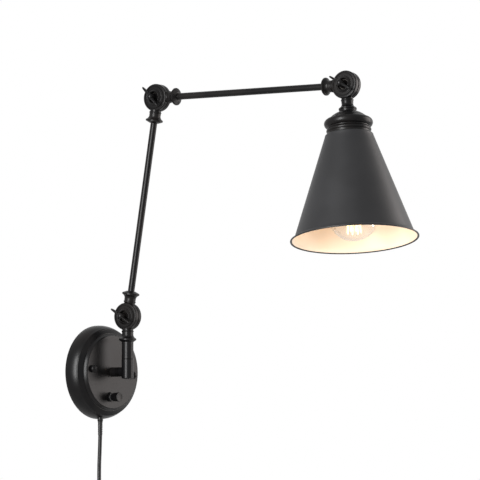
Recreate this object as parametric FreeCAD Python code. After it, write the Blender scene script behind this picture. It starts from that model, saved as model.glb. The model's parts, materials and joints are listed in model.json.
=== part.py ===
import FreeCAD, Part
import math
import os

from FreeCAD import Placement, Rotation, Vector

# Swing arm wall sconce, in millimetres.
#
# The wall is the plane Y = 0 and the lamp stands out of it towards -Y.  +Z is up, and
# the origin is the middle of the canopy's back, on the wall.  Seen from the room, +X is
# to the right.  The arms lie in one upright plane that turns about the barrel.  Each
# knuckle is a half lap: two round eyes, one on each side of that plane, on one screw.
#
# A link is modelled along its own +Z, from the pivot that carries it, with the knuckle
# axis along X.  Its eye stands on the +X side, and the eye that it meets on the -X side.

# ---- driving dimensions -----------------------------------------------------------

# Rest pose, in degrees.
CANOPY_TURN = 5.5  # the canopy hangs a little clockwise on its bracket
SWIVEL_REST = 7.7  # the arm plane, from straight out towards +X
LOWER_LEAN = 9.3  # the lower arm, from upright, outwards
UPPER_FOLD = 81.4  # the upper arm, from in line with the lower one
HEAD_FOLD = 82.3  # the head, from in line with the upper arm
HEAD_ROLL = -6.2  # how far the last knuckle is screwed round the upper rod

# Canopy, the round cover on the wall.
CANOPY_RADIUS = 59.7
CANOPY_DEPTH = 25.6
CANOPY_WALL = 1.2
SHOULDER_DEPTH = 17.8  # from the wall to the front of the outer step
STEP_RADIUS = 48.6  # the foot of the raised round face
STEP_DEPTH = 21.6
FACE_RADIUS = 46.0

# Wall bracket behind the canopy.
BRACKET_LENGTH = 106.0
BRACKET_WIDTH = 22.0
BRACKET_THICK = 1.6
SLOT_SPACING = 88.9
SLOT_LENGTH = 10.0
SLOT_WIDTH = 4.8
STUD_RADIUS = 2.0
STUD_OUT = 37.0  # each stud from the middle
STUD_END = 4.2  # proud of the canopy's face, inside its cap nut
CAP_NUT_RADIUS = 4.6
CAP_NUT_HEIGHT = 6.4

# Switch with its knob, on the canopy.
SWITCH_DROP = 32.0
SWITCH_RADIUS = 9.0
SWITCH_DEPTH = 14.0
BUSHING_RADIUS = 4.7
BUSHING_PROUD = 2.5
KNOB_RADIUS = 5.95
KNOB_LENGTH = 12.6
KNOB_TAPER = 0.8
KNOB_FLUTES = 22
KNOB_SHAFT_RADIUS = 3.0
KNOB_SHAFT_REACH = 7.6  # how far the spindle goes up into the knob
SPINDLE_DEPTH = 4.5  # how far the spindle goes into the switch

# Stub tube from the canopy to the barrel, and the barrel that turns on itself.
STUB_RADIUS = 6.0
NIPPLE_RADIUS = 5.0
NIPPLE_INSIDE = 7.5  # the stub's thread, behind the canopy's face
SPIGOT_RADIUS = 4.0
SPIGOT_GRIP = 1.6  # how far the spigot goes through the barrel's wall
THREAD_PITCH = 1.3
THREAD_DEPTH = 0.35
THREAD_GROOVES = 5
NUT_WALL = 2.5  # from a nut's thread to its flats
NUT_HEIGHT = 3.5
WASHER_THICK = 1.0
BARREL_OUT = 51.6  # the barrel's axis, from the wall
BARREL_RADIUS = 7.55
BARREL_WALL = 1.65
BARREL_BOTTOM = -8.6
PLUG_DEPTH = 2.6
SEAM_HEIGHT = 16.0
BEARING_LENGTH = 7.0
TURNING_RADIUS = 7.35
TURNING_HEIGHT = 21.5
PIN_RADIUS = 4.5
PIN_THREAD_RADIUS = 3.5
PIN_GRIP = 10.0  # how far the pin goes up into the turning half
SWIVEL_NUT_WALL = 1.5
WIRE_WAY = 2.6  # the radius of the way that the leads take

# Knuckles.
EYE_RADIUS = 17.3
EYE_GAP = 0.8  # between the two eyes, for the friction disc
EYE_FACE = 6.9  # the outer face, from the middle of the knuckle
RING_TOP = 9.6  # the raised ring round the screw
RING_RADIUS = 10.2
RECESS_RADIUS = 7.0
WEB = 4.6  # the recess floor, from the middle of the knuckle
SCREW_RADIUS = 3.0
SCREW_END = 20.0  # the wing screw's head, from the middle
HUB_WALL = 0.9
KNUCKLE_NUT_WALL = 2.0
KNUCKLE_NUT_HEIGHT = 4.0
KNUCKLE_NUT_DOME = 3.5
DISC_INSET = 2.5  # the friction disc's edge, in from the eye's
WASHER_INSET = 0.8  # the washer's edge, in from the recess
WING_SPAN = 35.4
WING_THICK = 3.2
WING_TURNS = (57.0, 43.0, 60.0)  # each wing's rest turn, from up towards the wall

# Necks and rods.
NECK_LENGTH = 32.4
NECK_RADIUS = 7.2
FLANGE_RADIUS = 11.0
ROD_RADIUS = 4.2
ROD_WALL = 1.0
ROD_LENGTH = 228.6
ROD_SOCKET = 7.0  # how far a rod goes into each neck
SOCKET_WALL = 1.2  # of the neck's thin end, round the rod
LEAD_RADIUS = 1.1

# Lamp holder and its cap.
HEAD_NECK_MORE = 1.1  # the last neck is this much longer than the others
NIPPLE_GRIP = 8.1  # how far the nipple goes into the neck
NIPPLE_HOLD = 6.0  # how far the nipple goes into the holder
CAP_BEAD_RADIUS = 29.6
CAP_RIM_RADIUS = 26.0
CAP_END = 62.0  # its lower edge, from the last pivot
CAP_WALL = 1.2
HOLDER_RADIUS = 19.5
HOLDER_TOP = 40.0
HOLDER_END = 90.0
SHELL_RADIUS = 13.8
SHELL_WALL = 0.6
SHELL_DEPTH = 26.0
CONTACT_RADIUS = 5.1
CONTACT_HEIGHT = 2.0

# Shade.
SHADE_TOP_RADIUS = 29.5
SHADE_CONE_RADIUS = 72.0
SHADE_RADIUS = 77.5
SHADE_END = 192.4  # its mouth, from the last pivot
SHADE_LIP = 5.4  # the height of the flared lip
SHADE_WALL = 1.0
SHADE_ROLL = 1.1
CLAMP_THICK = 3.5
CLAMP_WIDTH = 5.0

# Bulb.
BULB_RADIUS = 30.0
BULB_TIP = 193.5
BULB_NECK_RADIUS = 13.0
BULB_SEAT = 3.0  # how far the glass reaches into the holder
GLASS_WALL = 0.8
BASE_CLEARANCE = 0.15
BASE_GROOVES = 4
BASE_PITCH = 3.2
STEM_LENGTH = 56.0
FILAMENT_COUNT = 8
FILAMENT_RADIUS = 0.4
FILAMENT_CLOSE = 5.0  # the filament's spacing from the axis at the holder's end
FILAMENT_WIDE = 8.5  # and at the tip's end
FILAMENT_START = 22.0  # from the holder's end
FILAMENT_FROM_TIP = 9.5

# Cord and plug.
CORD_RADIUS = 2.5
EXIT_DEPTH = 9.5
RELIEF_RADIUS = 3.6
RELIEF_LENGTH = 26.0
RELIEF_WALL = 0.35  # at its thin end, round the cord
COIL_RADIUS = 29.0
COIL_TURNS_ACROSS = 3
TIE_WIDTH = 9.0
TIE_THICK = 1.2
PLUG_SIZE = (25.0, 20.0, 30.0)
PLUG_TOP = -214.0
BLADE_SPACING = 12.7
BLADE_SIZE = (1.5, 6.35, 17.5)

# Fits.
RUNNING_FIT = 0.05  # the radial clearance of what turns in a bore
FACE_GAP = 0.05  # between faces that slide on each other
HOLE_CLEARANCE = 0.3

# The cord's route from the strain relief to the coil, chosen by hand.
CORD_ROUTE = (
    (-5.7, -9.5, -80.5),
    (-5.9, -9.2, -97.0),
    (-6.8, -8.8, -121.0),
    (-7.0, -9.4, -152.0),
    (-7.0, -9.5, -186.0),
)

# The twist-on connector behind the canopy, and the leads: from the relief to the
# connector and on to the stub, and from the relief to the switch and on to the stub.
WIRE_NUT_PLACE = (-20.0, -14.0, -18.0)
WIRE_NUT_RADIUS = 4.6
WIRE_NUT_HEIGHT = 19.0
LEAD_ROUTES = (
    ((-6.9, -9.5, -54.5), (-6.9, -9.5, -49.0), (-17.0, -8.5, -43.0), (-22.0, -13.0, -30.0),
     (-21.2, -14.0, -24.0), (-21.2, -14.0, -18.0)),
    ((-18.8, -14.0, -18.0), (-18.8, -14.0, -24.0), (-14.0, -6.5, -24.0), (-7.0, -5.5, -11.0),
     (-1.2, -7.5, 0.0), (-1.2, -19.0, 0.0)),
    ((-4.5, -9.5, -54.5), (-4.5, -9.5, -49.0), (-5.0, -5.0, -43.0), (-5.0, -5.4, -34.0),
     (-5.0, -10.4, -34.0)),
    ((-1.0, -10.4, -30.0), (-1.0, -5.4, -30.0), (2.0, -4.5, -19.0), (3.0, -5.0, -8.0),
     (1.2, -7.5, 0.0), (1.2, -19.0, 0.0)),
)

# ---- worked out from the above -----------------------------------------------------

X_AXIS = Vector(1, 0, 0)
Y_AXIS = Vector(0, 1, 0)
Z_AXIS = Vector(0, 0, 1)

ROD_START = NECK_LENGTH - ROD_SOCKET
ARM_LENGTH = ROD_LENGTH + 2 * ROD_START
PIVOT_HEIGHT = SEAM_HEIGHT + TURNING_HEIGHT + NECK_LENGTH
INSIDE_FACE = CANOPY_DEPTH - CANOPY_WALL
BARREL_BORE = BARREL_RADIUS - BARREL_WALL
BEARING_FOOT = SEAM_HEIGHT - BEARING_LENGTH
KNOB_BASE = CANOPY_DEPTH + BUSHING_PROUD + HOLE_CLEARANCE
HEAD_TOP = NECK_LENGTH + HEAD_NECK_MORE  # where the holder's cap begins
HOLDER_FLOOR = HOLDER_END - SHELL_DEPTH
BULB_START = HOLDER_END - BULB_SEAT
COIL_HALF = COIL_TURNS_ACROSS * CORD_RADIUS
COIL_SHIFT = COIL_HALF - CORD_RADIUS  # from the middle turn to the outer one
COIL_CENTRE = Vector(*CORD_ROUTE[-1]) + Vector(COIL_RADIUS + COIL_SHIFT, 0, 0)


def turn(axis, degrees, place=Vector()):
    """A frame that is turned about an axis and then moved."""
    return Placement(place, Rotation(axis, degrees))


OUTWARDS = turn(X_AXIS, 90)  # takes +Z to -Y, out of the wall
FRONTWARDS = turn(Y_AXIS, -90)  # takes +Z to -X, the side of the wing screws
BACKWARDS = turn(Y_AXIS, 90)
CANOPY = turn(Y_AXIS, CANOPY_TURN)
BARREL = turn(Z_AXIS, 0, Vector(0, -BARREL_OUT, 0))
SWIVEL = turn(Z_AXIS, SWIVEL_REST, Vector(0, -BARREL_OUT, 0))
PIVOT_1 = SWIVEL * turn(Z_AXIS, 0, Vector(0, 0, PIVOT_HEIGHT))
LOWER_ARM = PIVOT_1 * turn(X_AXIS, LOWER_LEAN)
PIVOT_2 = LOWER_ARM * turn(Z_AXIS, 0, Vector(0, 0, ARM_LENGTH))
UPPER_ARM = PIVOT_2 * turn(X_AXIS, UPPER_FOLD)
PIVOT_3 = UPPER_ARM * turn(Z_AXIS, HEAD_ROLL, Vector(0, 0, ARM_LENGTH))
HEAD = PIVOT_3 * turn(X_AXIS, HEAD_FOLD)


# ---- helpers -----------------------------------------------------------------------


def put(shape, frame):
    """The shape, placed in a frame."""
    moved = shape.copy()
    moved.Placement = frame * moved.Placement
    return moved


def outline(start, *steps):
    """A closed face in the XZ plane.  A step (x, z) is a line, (mx, mz, x, z) an arc."""
    here = Vector(start[0], 0, start[1])
    first = here
    edges = []
    for step in steps:
        there = Vector(step[-2], 0, step[-1])
        if len(step) == 4:
            middle = Vector(step[0], 0, step[1])
            edges.append(Part.Arc(here, middle, there).toShape())
        else:
            edges.append(Part.LineSegment(here, there).toShape())
        here = there
    if here.distanceToPoint(first) > 1e-6:
        edges.append(Part.LineSegment(here, first).toShape())
    return Part.Face(Part.Wire(edges))


def dome(radius, edge, tip):
    """The step of a round dome or dish, from its edge at a radius up or down to the axis."""
    rise = tip - edge
    ball = (radius ** 2 + rise ** 2) / (2 * rise)
    half = math.atan2(radius, abs(ball) - abs(rise)) / 2
    return (abs(ball) * math.sin(half), tip - ball * (1 - math.cos(half)), 0, tip)


def turned(start, *steps):
    """A solid turned about Z from an outline of (radius, height) steps."""
    return outline(start, *steps).revolve(Vector(), Z_AXIS, 360)


def disc(radius, low, high, x=0.0, y=0.0):
    """A plain cylinder along Z."""
    return Part.makeCylinder(radius, high - low, Vector(x, y, low))


def ring(radius, bore, low, high):
    """A plain tube along Z."""
    return turned((bore, low), (radius, low), (radius, high), (bore, high))


def hexagon(across, bore, low, high):
    """A hexagonal nut along Z, across its flats, with a round bore."""
    corner = across / math.sqrt(3)
    points = [
        Vector(corner * math.cos(math.radians(a)), corner * math.sin(math.radians(a)), low)
        for a in range(0, 420, 60)
    ]
    prism = Part.Face(Part.makePolygon(points)).extrude(Vector(0, 0, high - low))
    cone = turned((0, low), (across / 2, low), (corner + 0.1, low + 0.5), (corner + 0.1, high - 0.5),
                  (across / 2, high), (0, high))
    return prism.common(cone).cut(disc(bore, low - 1, high + 1))


def upright_edges(shape):
    """The edges that run along Z."""
    return [e for e in shape.Edges if abs(e.tangentAt(e.FirstParameter).z) > 0.9]


def bundle(shapes):
    """Separate solids kept in one node."""
    return Part.makeCompound(shapes)


def route_edges(points, name):
    """Straight runs joined by tangent arcs, each as large as its two runs allow."""
    corners = [Vector(*p) for p in points]
    edges = []
    radii = []
    here = corners[0]
    for before, corner, after in zip(corners, corners[1:], corners[2:]):
        run_in = corner - before
        run_out = after - corner
        half = run_in.getAngle(run_out) / 2
        cut_back = 0.45 * min(run_in.Length, run_out.Length)
        towards = Vector(run_in).normalize()
        away = Vector(run_out).normalize()
        start = corner - towards * cut_back
        end = corner + away * cut_back
        radius = cut_back / math.tan(half)
        inwards = (away - towards).normalize()
        middle = corner + inwards * (radius / math.cos(half) - radius)
        edges.append(Part.LineSegment(here, start).toShape())
        edges.append(Part.Arc(start, middle, end).toShape())
        radii.append(round(radius, 1))
        here = end
    edges.append(Part.LineSegment(here, corners[-1]).toShape())
    print(name, "arc radii", radii)
    return edges


def hose(points, radius, name):
    """A round tube filled solid along a route."""
    edges = route_edges(points, name)
    path = Part.Wire(edges)
    along = Vector(*points[1]) - Vector(*points[0])
    section = Part.Wire(Part.makeCircle(radius, Vector(*points[0]), along))
    solid = path.makePipeShell([section], True, False)
    length = sum(e.Length for e in edges)
    print(name, "length", round(length, 1), "volume over section x length",
          round(solid.Volume / (length * math.pi * radius ** 2), 4))
    return solid


# ---- canopy and what stands on the wall ---------------------------------------------


def canopy_form(inset):
    """The canopy's outer form, or with an inset the form of its inside, depth along Z."""
    radius = CANOPY_RADIUS - inset
    shoulder = SHOULDER_DEPTH - inset
    step = STEP_DEPTH - inset
    face = CANOPY_DEPTH - inset
    step_radius = STEP_RADIUS - inset
    face_radius = FACE_RADIUS - inset
    back = -1.0 if inset else 0.0
    return turned(
        (0, back),
        (radius, back),
        (radius, 0.16 * shoulder),
        (radius - 1.3, 0.62 * shoulder, radius - 3.6, 0.9 * shoulder),
        (radius - 4.4, 0.985 * shoulder, radius - 5.8, shoulder + 0.5),
        (step_radius + 0.9, step - 0.5),
        (step_radius, step - 0.4, step_radius - 0.4, step + 0.3),
        (face_radius + 1.2, face - 1.6),
        (face_radius + 0.7, face - 0.4, face_radius - 0.6, face),
        (0, face),
    )


def on_canopy(shape, across=0.0, up=0.0):
    """Place a piece that is made along +Z, with its height measured from the wall."""
    return put(shape, CANOPY * turn(X_AXIS, 90, Vector(across, 0, up)))


def canopy():
    """The cover, with holes for the stub, the studs, the switch and the cord."""
    low = CANOPY_DEPTH - 4
    high = CANOPY_DEPTH + 4
    shell = canopy_form(0).cut(canopy_form(CANOPY_WALL))
    shell = shell.cut(disc(NIPPLE_RADIUS + HOLE_CLEARANCE, low, high))
    for side in (-1, 1):
        shell = shell.cut(disc(STUD_RADIUS + HOLE_CLEARANCE, low, high, side * STUD_OUT))
    shell = shell.cut(disc(BUSHING_RADIUS + HOLE_CLEARANCE, low, high, 0, -SWITCH_DROP))
    shell = on_canopy(shell)
    return shell.cut(cord_gland(HOLE_CLEARANCE))


def wall_bracket():
    """The crossbar: slots for the box screws, tapped holes for the studs, a wire hole."""
    half = BRACKET_LENGTH / 2
    corner = Vector(-half, -BRACKET_WIDTH / 2, 0)
    bar = Part.makeBox(BRACKET_LENGTH, BRACKET_WIDTH, BRACKET_THICK, corner)
    bar = bar.makeFillet(BRACKET_WIDTH / 4, upright_edges(bar))
    bar = bar.cut(disc(NIPPLE_RADIUS + 2, -1, BRACKET_THICK + 1))
    reach = (SLOT_LENGTH - SLOT_WIDTH) / 2
    for side in (-1, 1):
        middle = side * SLOT_SPACING / 2
        corner = Vector(middle - reach, -SLOT_WIDTH / 2, -1)
        slot = Part.makeBox(2 * reach, SLOT_WIDTH, BRACKET_THICK + 2, corner)
        for end in (-reach, reach):
            slot = slot.fuse(disc(SLOT_WIDTH / 2, -1, BRACKET_THICK + 1, middle + end))
        bar = bar.cut(slot)
    bar = put(bar, OUTWARDS)
    for side in (-1, 1):
        bar = bar.cut(on_canopy(disc(STUD_RADIUS, -1, BRACKET_THICK + 1), side * STUD_OUT))
    return bar


def bracket_studs():
    """Two threaded studs from the bracket through the canopy into the cap nuts."""
    end = CANOPY_DEPTH + STUD_END
    stud = turned((0, 0), (STUD_RADIUS, 0), (STUD_RADIUS, end - 0.6), (STUD_RADIUS - 0.6, end), (0, end))
    return bundle([on_canopy(stud, side * STUD_OUT) for side in (-1, 1)])


def canopy_cap_nuts():
    """Round headed cap nuts that hold the canopy."""
    radius = CAP_NUT_RADIUS
    top = CANOPY_DEPTH + CAP_NUT_HEIGHT
    end = CANOPY_DEPTH + STUD_END
    nut = turned(
        (STUD_RADIUS, CANOPY_DEPTH),
        (radius - 1.0, CANOPY_DEPTH),
        (radius - 0.8, CANOPY_DEPTH + 0.9),
        (radius + 0.1, CANOPY_DEPTH + 2.6, radius - 0.5, top - 2.2),
        dome(radius - 0.5, top - 2.2, top),
        (0, end),
        (STUD_RADIUS - 0.6, end),
        (STUD_RADIUS, end - 0.6),
    )
    return bundle([on_canopy(nut, side * STUD_OUT) for side in (-1, 1)])


def switch_body():
    """The rotary switch behind the canopy, with its bushing through the face."""
    tip = CANOPY_DEPTH + BUSHING_PROUD
    bore = KNOB_SHAFT_RADIUS + RUNNING_FIT
    floor = INSIDE_FACE - SPINDLE_DEPTH - FACE_GAP
    back = INSIDE_FACE - SWITCH_DEPTH
    body = turned(
        (0, back),
        (SWITCH_RADIUS - 1, back),
        (SWITCH_RADIUS, back + 1),
        (SWITCH_RADIUS, INSIDE_FACE),
        (BUSHING_RADIUS, INSIDE_FACE),
        (BUSHING_RADIUS, tip),
        (bore, tip),
        (bore, floor),
        (0, floor),
    )
    return on_canopy(body, 0, -SWITCH_DROP)


def switch_nut():
    """The thin nut that clamps the switch to the canopy."""
    top = CANOPY_DEPTH + BUSHING_PROUD - HOLE_CLEARANCE
    nut = hexagon(2 * BUSHING_RADIUS + 2.4, BUSHING_RADIUS, CANOPY_DEPTH, top)
    return on_canopy(nut, 0, -SWITCH_DROP)


def switch_shaft():
    """The switch's spindle, inside the bushing and the knob."""
    spindle = disc(KNOB_SHAFT_RADIUS, INSIDE_FACE - SPINDLE_DEPTH, KNOB_BASE + KNOB_SHAFT_REACH)
    return on_canopy(spindle, 0, -SWITCH_DROP)


def switch_knob():
    """A fluted knob that widens to a dished end."""
    base = KNOB_BASE
    end = base + KNOB_LENGTH
    shaft_end = base + KNOB_SHAFT_REACH
    waist = KNOB_RADIUS - KNOB_TAPER
    knob = turned(
        (KNOB_SHAFT_RADIUS, base),
        (waist - 0.7, base),
        (waist - 0.2, base + 1.6),
        (waist, base + 2.0),
        (KNOB_RADIUS, end - 0.5),
        (KNOB_RADIUS - 0.5, end),
        (KNOB_RADIUS - 1.3, end),
        dome(KNOB_RADIUS - 1.3, end, end - 1.4),
        (0, shaft_end),
        (KNOB_SHAFT_RADIUS, shaft_end),
    )
    start = Vector(waist + 0.15, 0, base + 2.0)
    slope = Vector(KNOB_RADIUS + 0.15, 0, end + 1) - start
    flute = Part.makeCylinder(0.42, slope.Length, start, slope)
    flutes = []
    for i in range(KNOB_FLUTES):
        flutes.append(put(flute, turn(Z_AXIS, i * 360 / KNOB_FLUTES)))
    return on_canopy(knob.cut(flutes), 0, -SWITCH_DROP)


def cord_gland(clearance=0.0):
    """The strain relief's own form, upright, larger by a clearance for its hole."""
    bottom = CANOPY * Vector(0, 0, -CANOPY_RADIUS)
    top = CORD_ROUTE[0][2] + RELIEF_LENGTH
    radius = RELIEF_RADIUS + clearance
    sleeve = turned(
        (0, top),
        (radius, top),
        (radius, top - 0.28 * RELIEF_LENGTH),
        (radius - 0.5, top - 0.33 * RELIEF_LENGTH),
        (CORD_RADIUS + RELIEF_WALL + clearance, top - RELIEF_LENGTH),
        (0, top - RELIEF_LENGTH),
    )
    return put(sleeve, Placement(Vector(bottom.x, -EXIT_DEPTH, 0), Rotation()))


def wire_nut():
    """The twist-on connector behind the canopy, wide end down."""
    high = WIRE_NUT_HEIGHT
    wide = WIRE_NUT_RADIUS
    nut = turned((0, 0), (wide, 0), (wide, 0.2 * high), (0.65 * wide, high - 2.0),
                 dome(0.65 * wide, high - 2.0, high))
    return put(nut, Placement(Vector(*WIRE_NUT_PLACE), Rotation()))


def canopy_leads():
    """The four leads inside the canopy."""
    return bundle([hose(route, LEAD_RADIUS, "lead") for route in LEAD_ROUTES])


# ---- stub and barrel ----------------------------------------------------------------


def stub_tube():
    """The tube that carries the barrel: threaded behind, fish-mouthed in front."""
    wall_face = BARREL_OUT - BARREL_RADIUS
    body = ring(STUB_RADIUS, WIRE_WAY, CANOPY_DEPTH, BARREL_OUT)
    body = body.cut(Part.makeCylinder(BARREL_RADIUS, 60, Vector(0, -30, BARREL_OUT), Y_AXIS))
    spigot = ring(SPIGOT_RADIUS, WIRE_WAY, CANOPY_DEPTH + 2, wall_face + SPIGOT_GRIP)
    nipple = ring(NIPPLE_RADIUS, WIRE_WAY, INSIDE_FACE - NIPPLE_INSIDE, CANOPY_DEPTH + 2)
    tube = body.fuse([spigot, nipple]).removeSplitter()
    for i in range(THREAD_GROOVES):
        top = wall_face - 3.4 - i * THREAD_PITCH
        tube = tube.cut(ring(STUB_RADIUS + 1, STUB_RADIUS - THREAD_DEPTH, top - 0.4 * THREAD_PITCH, top))
    return put(tube, OUTWARDS)


def stub_lock_washer():
    """The washer inside the canopy."""
    washer = ring(NIPPLE_RADIUS + 4, NIPPLE_RADIUS, INSIDE_FACE - WASHER_THICK, INSIDE_FACE)
    return put(washer, OUTWARDS)


def stub_lock_nut():
    """The nut that clamps the stub to the canopy."""
    top = INSIDE_FACE - WASHER_THICK
    return put(hexagon(2 * (NIPPLE_RADIUS + NUT_WALL), NIPPLE_RADIUS, top - NUT_HEIGHT, top), OUTWARDS)


def lower_barrel():
    """The fixed half of the barrel: bearing above, room for the nut and wires below."""
    body = turned(
        (BARREL_BORE, BARREL_BOTTOM),
        (BARREL_RADIUS - 0.6, BARREL_BOTTOM),
        (BARREL_RADIUS, BARREL_BOTTOM + 0.6),
        (BARREL_RADIUS, SEAM_HEIGHT - 0.4),
        (BARREL_RADIUS - 0.4, SEAM_HEIGHT),
        (PIN_RADIUS + RUNNING_FIT, SEAM_HEIGHT),
        (PIN_RADIUS + RUNNING_FIT, BEARING_FOOT),
        (BARREL_BORE, BEARING_FOOT),
    )
    hole = Part.makeCylinder(SPIGOT_RADIUS, BARREL_RADIUS + 2, Vector(), Y_AXIS)
    return put(body.cut(hole), BARREL)


def barrel_plug():
    """The domed plug that closes the barrel's lower end."""
    top = BARREL_BOTTOM + PLUG_DEPTH
    plug = turned(
        (0, -top),
        (BARREL_BORE, -top),
        (BARREL_BORE, -BARREL_BOTTOM),
        dome(BARREL_BORE, -BARREL_BOTTOM, 0.7 - BARREL_BOTTOM),
    )
    return put(plug, BARREL * turn(X_AXIS, 180))


def swivel_pin():
    """The hollow pin on which the upper half of the barrel turns."""
    shoulder = BEARING_FOOT - HOLE_CLEARANCE
    foot = shoulder - NUT_HEIGHT - 0.8
    top = SEAM_HEIGHT + PIN_GRIP
    pin = turned((WIRE_WAY, foot), (PIN_THREAD_RADIUS, foot), (PIN_THREAD_RADIUS, shoulder),
                 (PIN_RADIUS, shoulder), (PIN_RADIUS, top), (WIRE_WAY, top))
    return put(pin, SWIVEL)


def swivel_nut():
    """The nut under the bearing that keeps the swivel together."""
    top = BEARING_FOOT - HOLE_CLEARANCE
    across = 2 * (PIN_THREAD_RADIUS + SWIVEL_NUT_WALL)
    return put(hexagon(across, PIN_THREAD_RADIUS, top - NUT_HEIGHT, top), SWIVEL)


def upper_barrel():
    """The turning half of the barrel."""
    low = SEAM_HEIGHT + FACE_GAP
    high = SEAM_HEIGHT + TURNING_HEIGHT
    body = turned(
        (PIN_RADIUS, low),
        (TURNING_RADIUS - 0.4, low),
        (TURNING_RADIUS, low + 0.4),
        (TURNING_RADIUS, high),
        (WIRE_WAY, high),
        (WIRE_WAY, SEAM_HEIGHT + PIN_GRIP),
        (PIN_RADIUS, SEAM_HEIGHT + PIN_GRIP),
    )
    return put(body, SWIVEL)


# ---- knuckles -----------------------------------------------------------------------


def eye(end_radius, bore, bore_start, length=NECK_LENGTH):
    """One half of a knuckle with its neck, the eye on +X and the neck along +Z."""
    low = EYE_GAP / 2
    edge = EYE_RADIUS
    flat = EYE_FACE
    form = turned(
        (SCREW_RADIUS + RUNNING_FIT, low),
        (edge - 0.4, low),
        (edge, low + 0.4),
        (edge, flat - 2.2),
        (edge - 0.45, flat - 1.0, edge - 1.6, flat - 0.5),
        (edge - 2.7, flat - 0.4),
        (edge - 3.0, flat - 0.9),
        (edge - 3.7, flat - 0.9),
        (edge - 4.0, flat),
        (RING_RADIUS + 0.8, flat + 0.1),
        (RING_RADIUS + 0.1, flat + 0.15, RING_RADIUS - 0.3, flat + 0.8),
        (RECESS_RADIUS + 1.3, RING_TOP - 0.5),
        (RECESS_RADIUS + 0.9, RING_TOP, RECESS_RADIUS + 0.4, RING_TOP - 0.1),
        (RECESS_RADIUS, RING_TOP - 0.6),
        (RECESS_RADIUS, WEB),
        (SCREW_RADIUS + RUNNING_FIT, WEB),
    )
    flange = length - 4.4
    neck = turned(
        (0, EYE_RADIUS - 2.0),
        (NECK_RADIUS - 0.2, EYE_RADIUS - 2.0),
        (NECK_RADIUS - 0.2, EYE_RADIUS + 0.4),
        (NECK_RADIUS + 0.6, EYE_RADIUS + 1.5, NECK_RADIUS, EYE_RADIUS + 2.6),
        (NECK_RADIUS + 0.1, EYE_RADIUS + 4.6),
        (NECK_RADIUS + 0.9, flange - 2.3, FLANGE_RADIUS - 0.5, flange - 0.3),
        (FLANGE_RADIUS, flange + 0.4),
        (FLANGE_RADIUS, flange + 1.6),
        (FLANGE_RADIUS - 0.5, flange + 2.2),
        (end_radius, length),
        (0, length),
    )
    swept = put(disc(EYE_RADIUS + 0.4, -FLANGE_RADIUS - 1, low), BACKWARDS)
    body = put(form, BACKWARDS).fuse(neck.cut(swept))
    body = body.cut(put(disc(RECESS_RADIUS, WEB, RING_TOP + 2), BACKWARDS))
    body = body.cut(disc(bore, bore_start, length + 1))
    return body.removeSplitter()


def near_eye():
    """The eye at the root of an arm."""
    return eye(ROD_RADIUS + SOCKET_WALL, ROD_RADIUS, ROD_START)


def far_eye(shape):
    """An eye turned to the front side, with its neck along -Z."""
    return put(shape, turn(Y_AXIS, 180))


def base_eye():
    """The eye on top of the turning barrel."""
    return eye(TURNING_RADIUS, WIRE_WAY, ROD_START)


def head_eye():
    """The eye that carries the lamp holder, its neck cut flat under the flange."""
    return eye(FLANGE_RADIUS - 0.6, NIPPLE_RADIUS, HEAD_TOP - NIPPLE_GRIP, HEAD_TOP)


def friction_disc():
    """The thin disc between the two eyes."""
    half = EYE_GAP / 2
    flat = ring(EYE_RADIUS - DISC_INSET, SCREW_RADIUS + RUNNING_FIT, FACE_GAP - half, half)
    return put(flat, BACKWARDS)


def screw_washer():
    """The washer under the wing screw's head, on the front eye."""
    washer = ring(RECESS_RADIUS - WASHER_INSET, SCREW_RADIUS + RUNNING_FIT, WEB, WEB + WASHER_THICK)
    return put(washer, FRONTWARDS)


def knuckle_nut():
    """The cap nut in the back eye's recess."""
    bore = SCREW_RADIUS + RUNNING_FIT
    across = 2 * (SCREW_RADIUS + KNUCKLE_NUT_WALL)
    flat = WEB + KNUCKLE_NUT_HEIGHT
    top = flat + KNUCKLE_NUT_DOME
    inside = flat + 0.4 * KNUCKLE_NUT_DOME
    body = hexagon(across, bore, WEB, flat)
    edge = 0.5 * across - 0.4
    cap = turned((bore, flat), (edge, flat), dome(edge, flat, top), (0, inside), (bore, inside))
    return put(body.fuse(cap).removeSplitter(), BACKWARDS)


def wing_screw():
    """The screw with two wings that clamps a knuckle, wings along Z before its turn."""
    seat = WEB + WASHER_THICK + FACE_GAP
    hub = SCREW_RADIUS + HUB_WALL
    foot = -(WEB + KNUCKLE_NUT_HEIGHT + 0.4 * KNUCKLE_NUT_DOME - 0.2)
    stem = turned(
        (0, foot),
        (SCREW_RADIUS, foot),
        (SCREW_RADIUS, seat),
        (hub + 1.4, seat),
        (hub + 1.4, seat + 1.4),
        (hub, seat + 2.4),
        (hub, SCREW_END - 1.8),
        dome(hub, SCREW_END - 1.8, SCREW_END),
    )
    tip = WING_SPAN / 2
    wing = outline(
        (1.0, SCREW_END - 9.6),
        (hub + 1.0, SCREW_END - 9.0),
        (0.55 * tip, SCREW_END - 8.7, tip - 2.4, SCREW_END - 6.6),
        (tip, SCREW_END - 4.6, tip - 1.2, SCREW_END - 2.6),
        (0.6 * tip, SCREW_END - 2.4, hub + 1.0, SCREW_END - 1.4),
        (1.0, SCREW_END - 1.4),
    )
    wing = wing.extrude(Vector(0, WING_THICK, 0))
    wing.translate(Vector(0, -WING_THICK / 2, 0))
    return stem.fuse([wing, put(wing, turn(Z_AXIS, 180))]).removeSplitter()


def rod():
    """A rod of tube, from socket to socket."""
    return ring(ROD_RADIUS, ROD_RADIUS - ROD_WALL, ROD_START, ROD_START + ROD_LENGTH)


def rod_leads():
    """The two leads inside a rod."""
    apart = LEAD_RADIUS + 0.1
    end = ROD_START + ROD_LENGTH
    return bundle([disc(LEAD_RADIUS, ROD_START, end, side * apart) for side in (-1, 1)])


# ---- head -----------------------------------------------------------------------------


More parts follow.
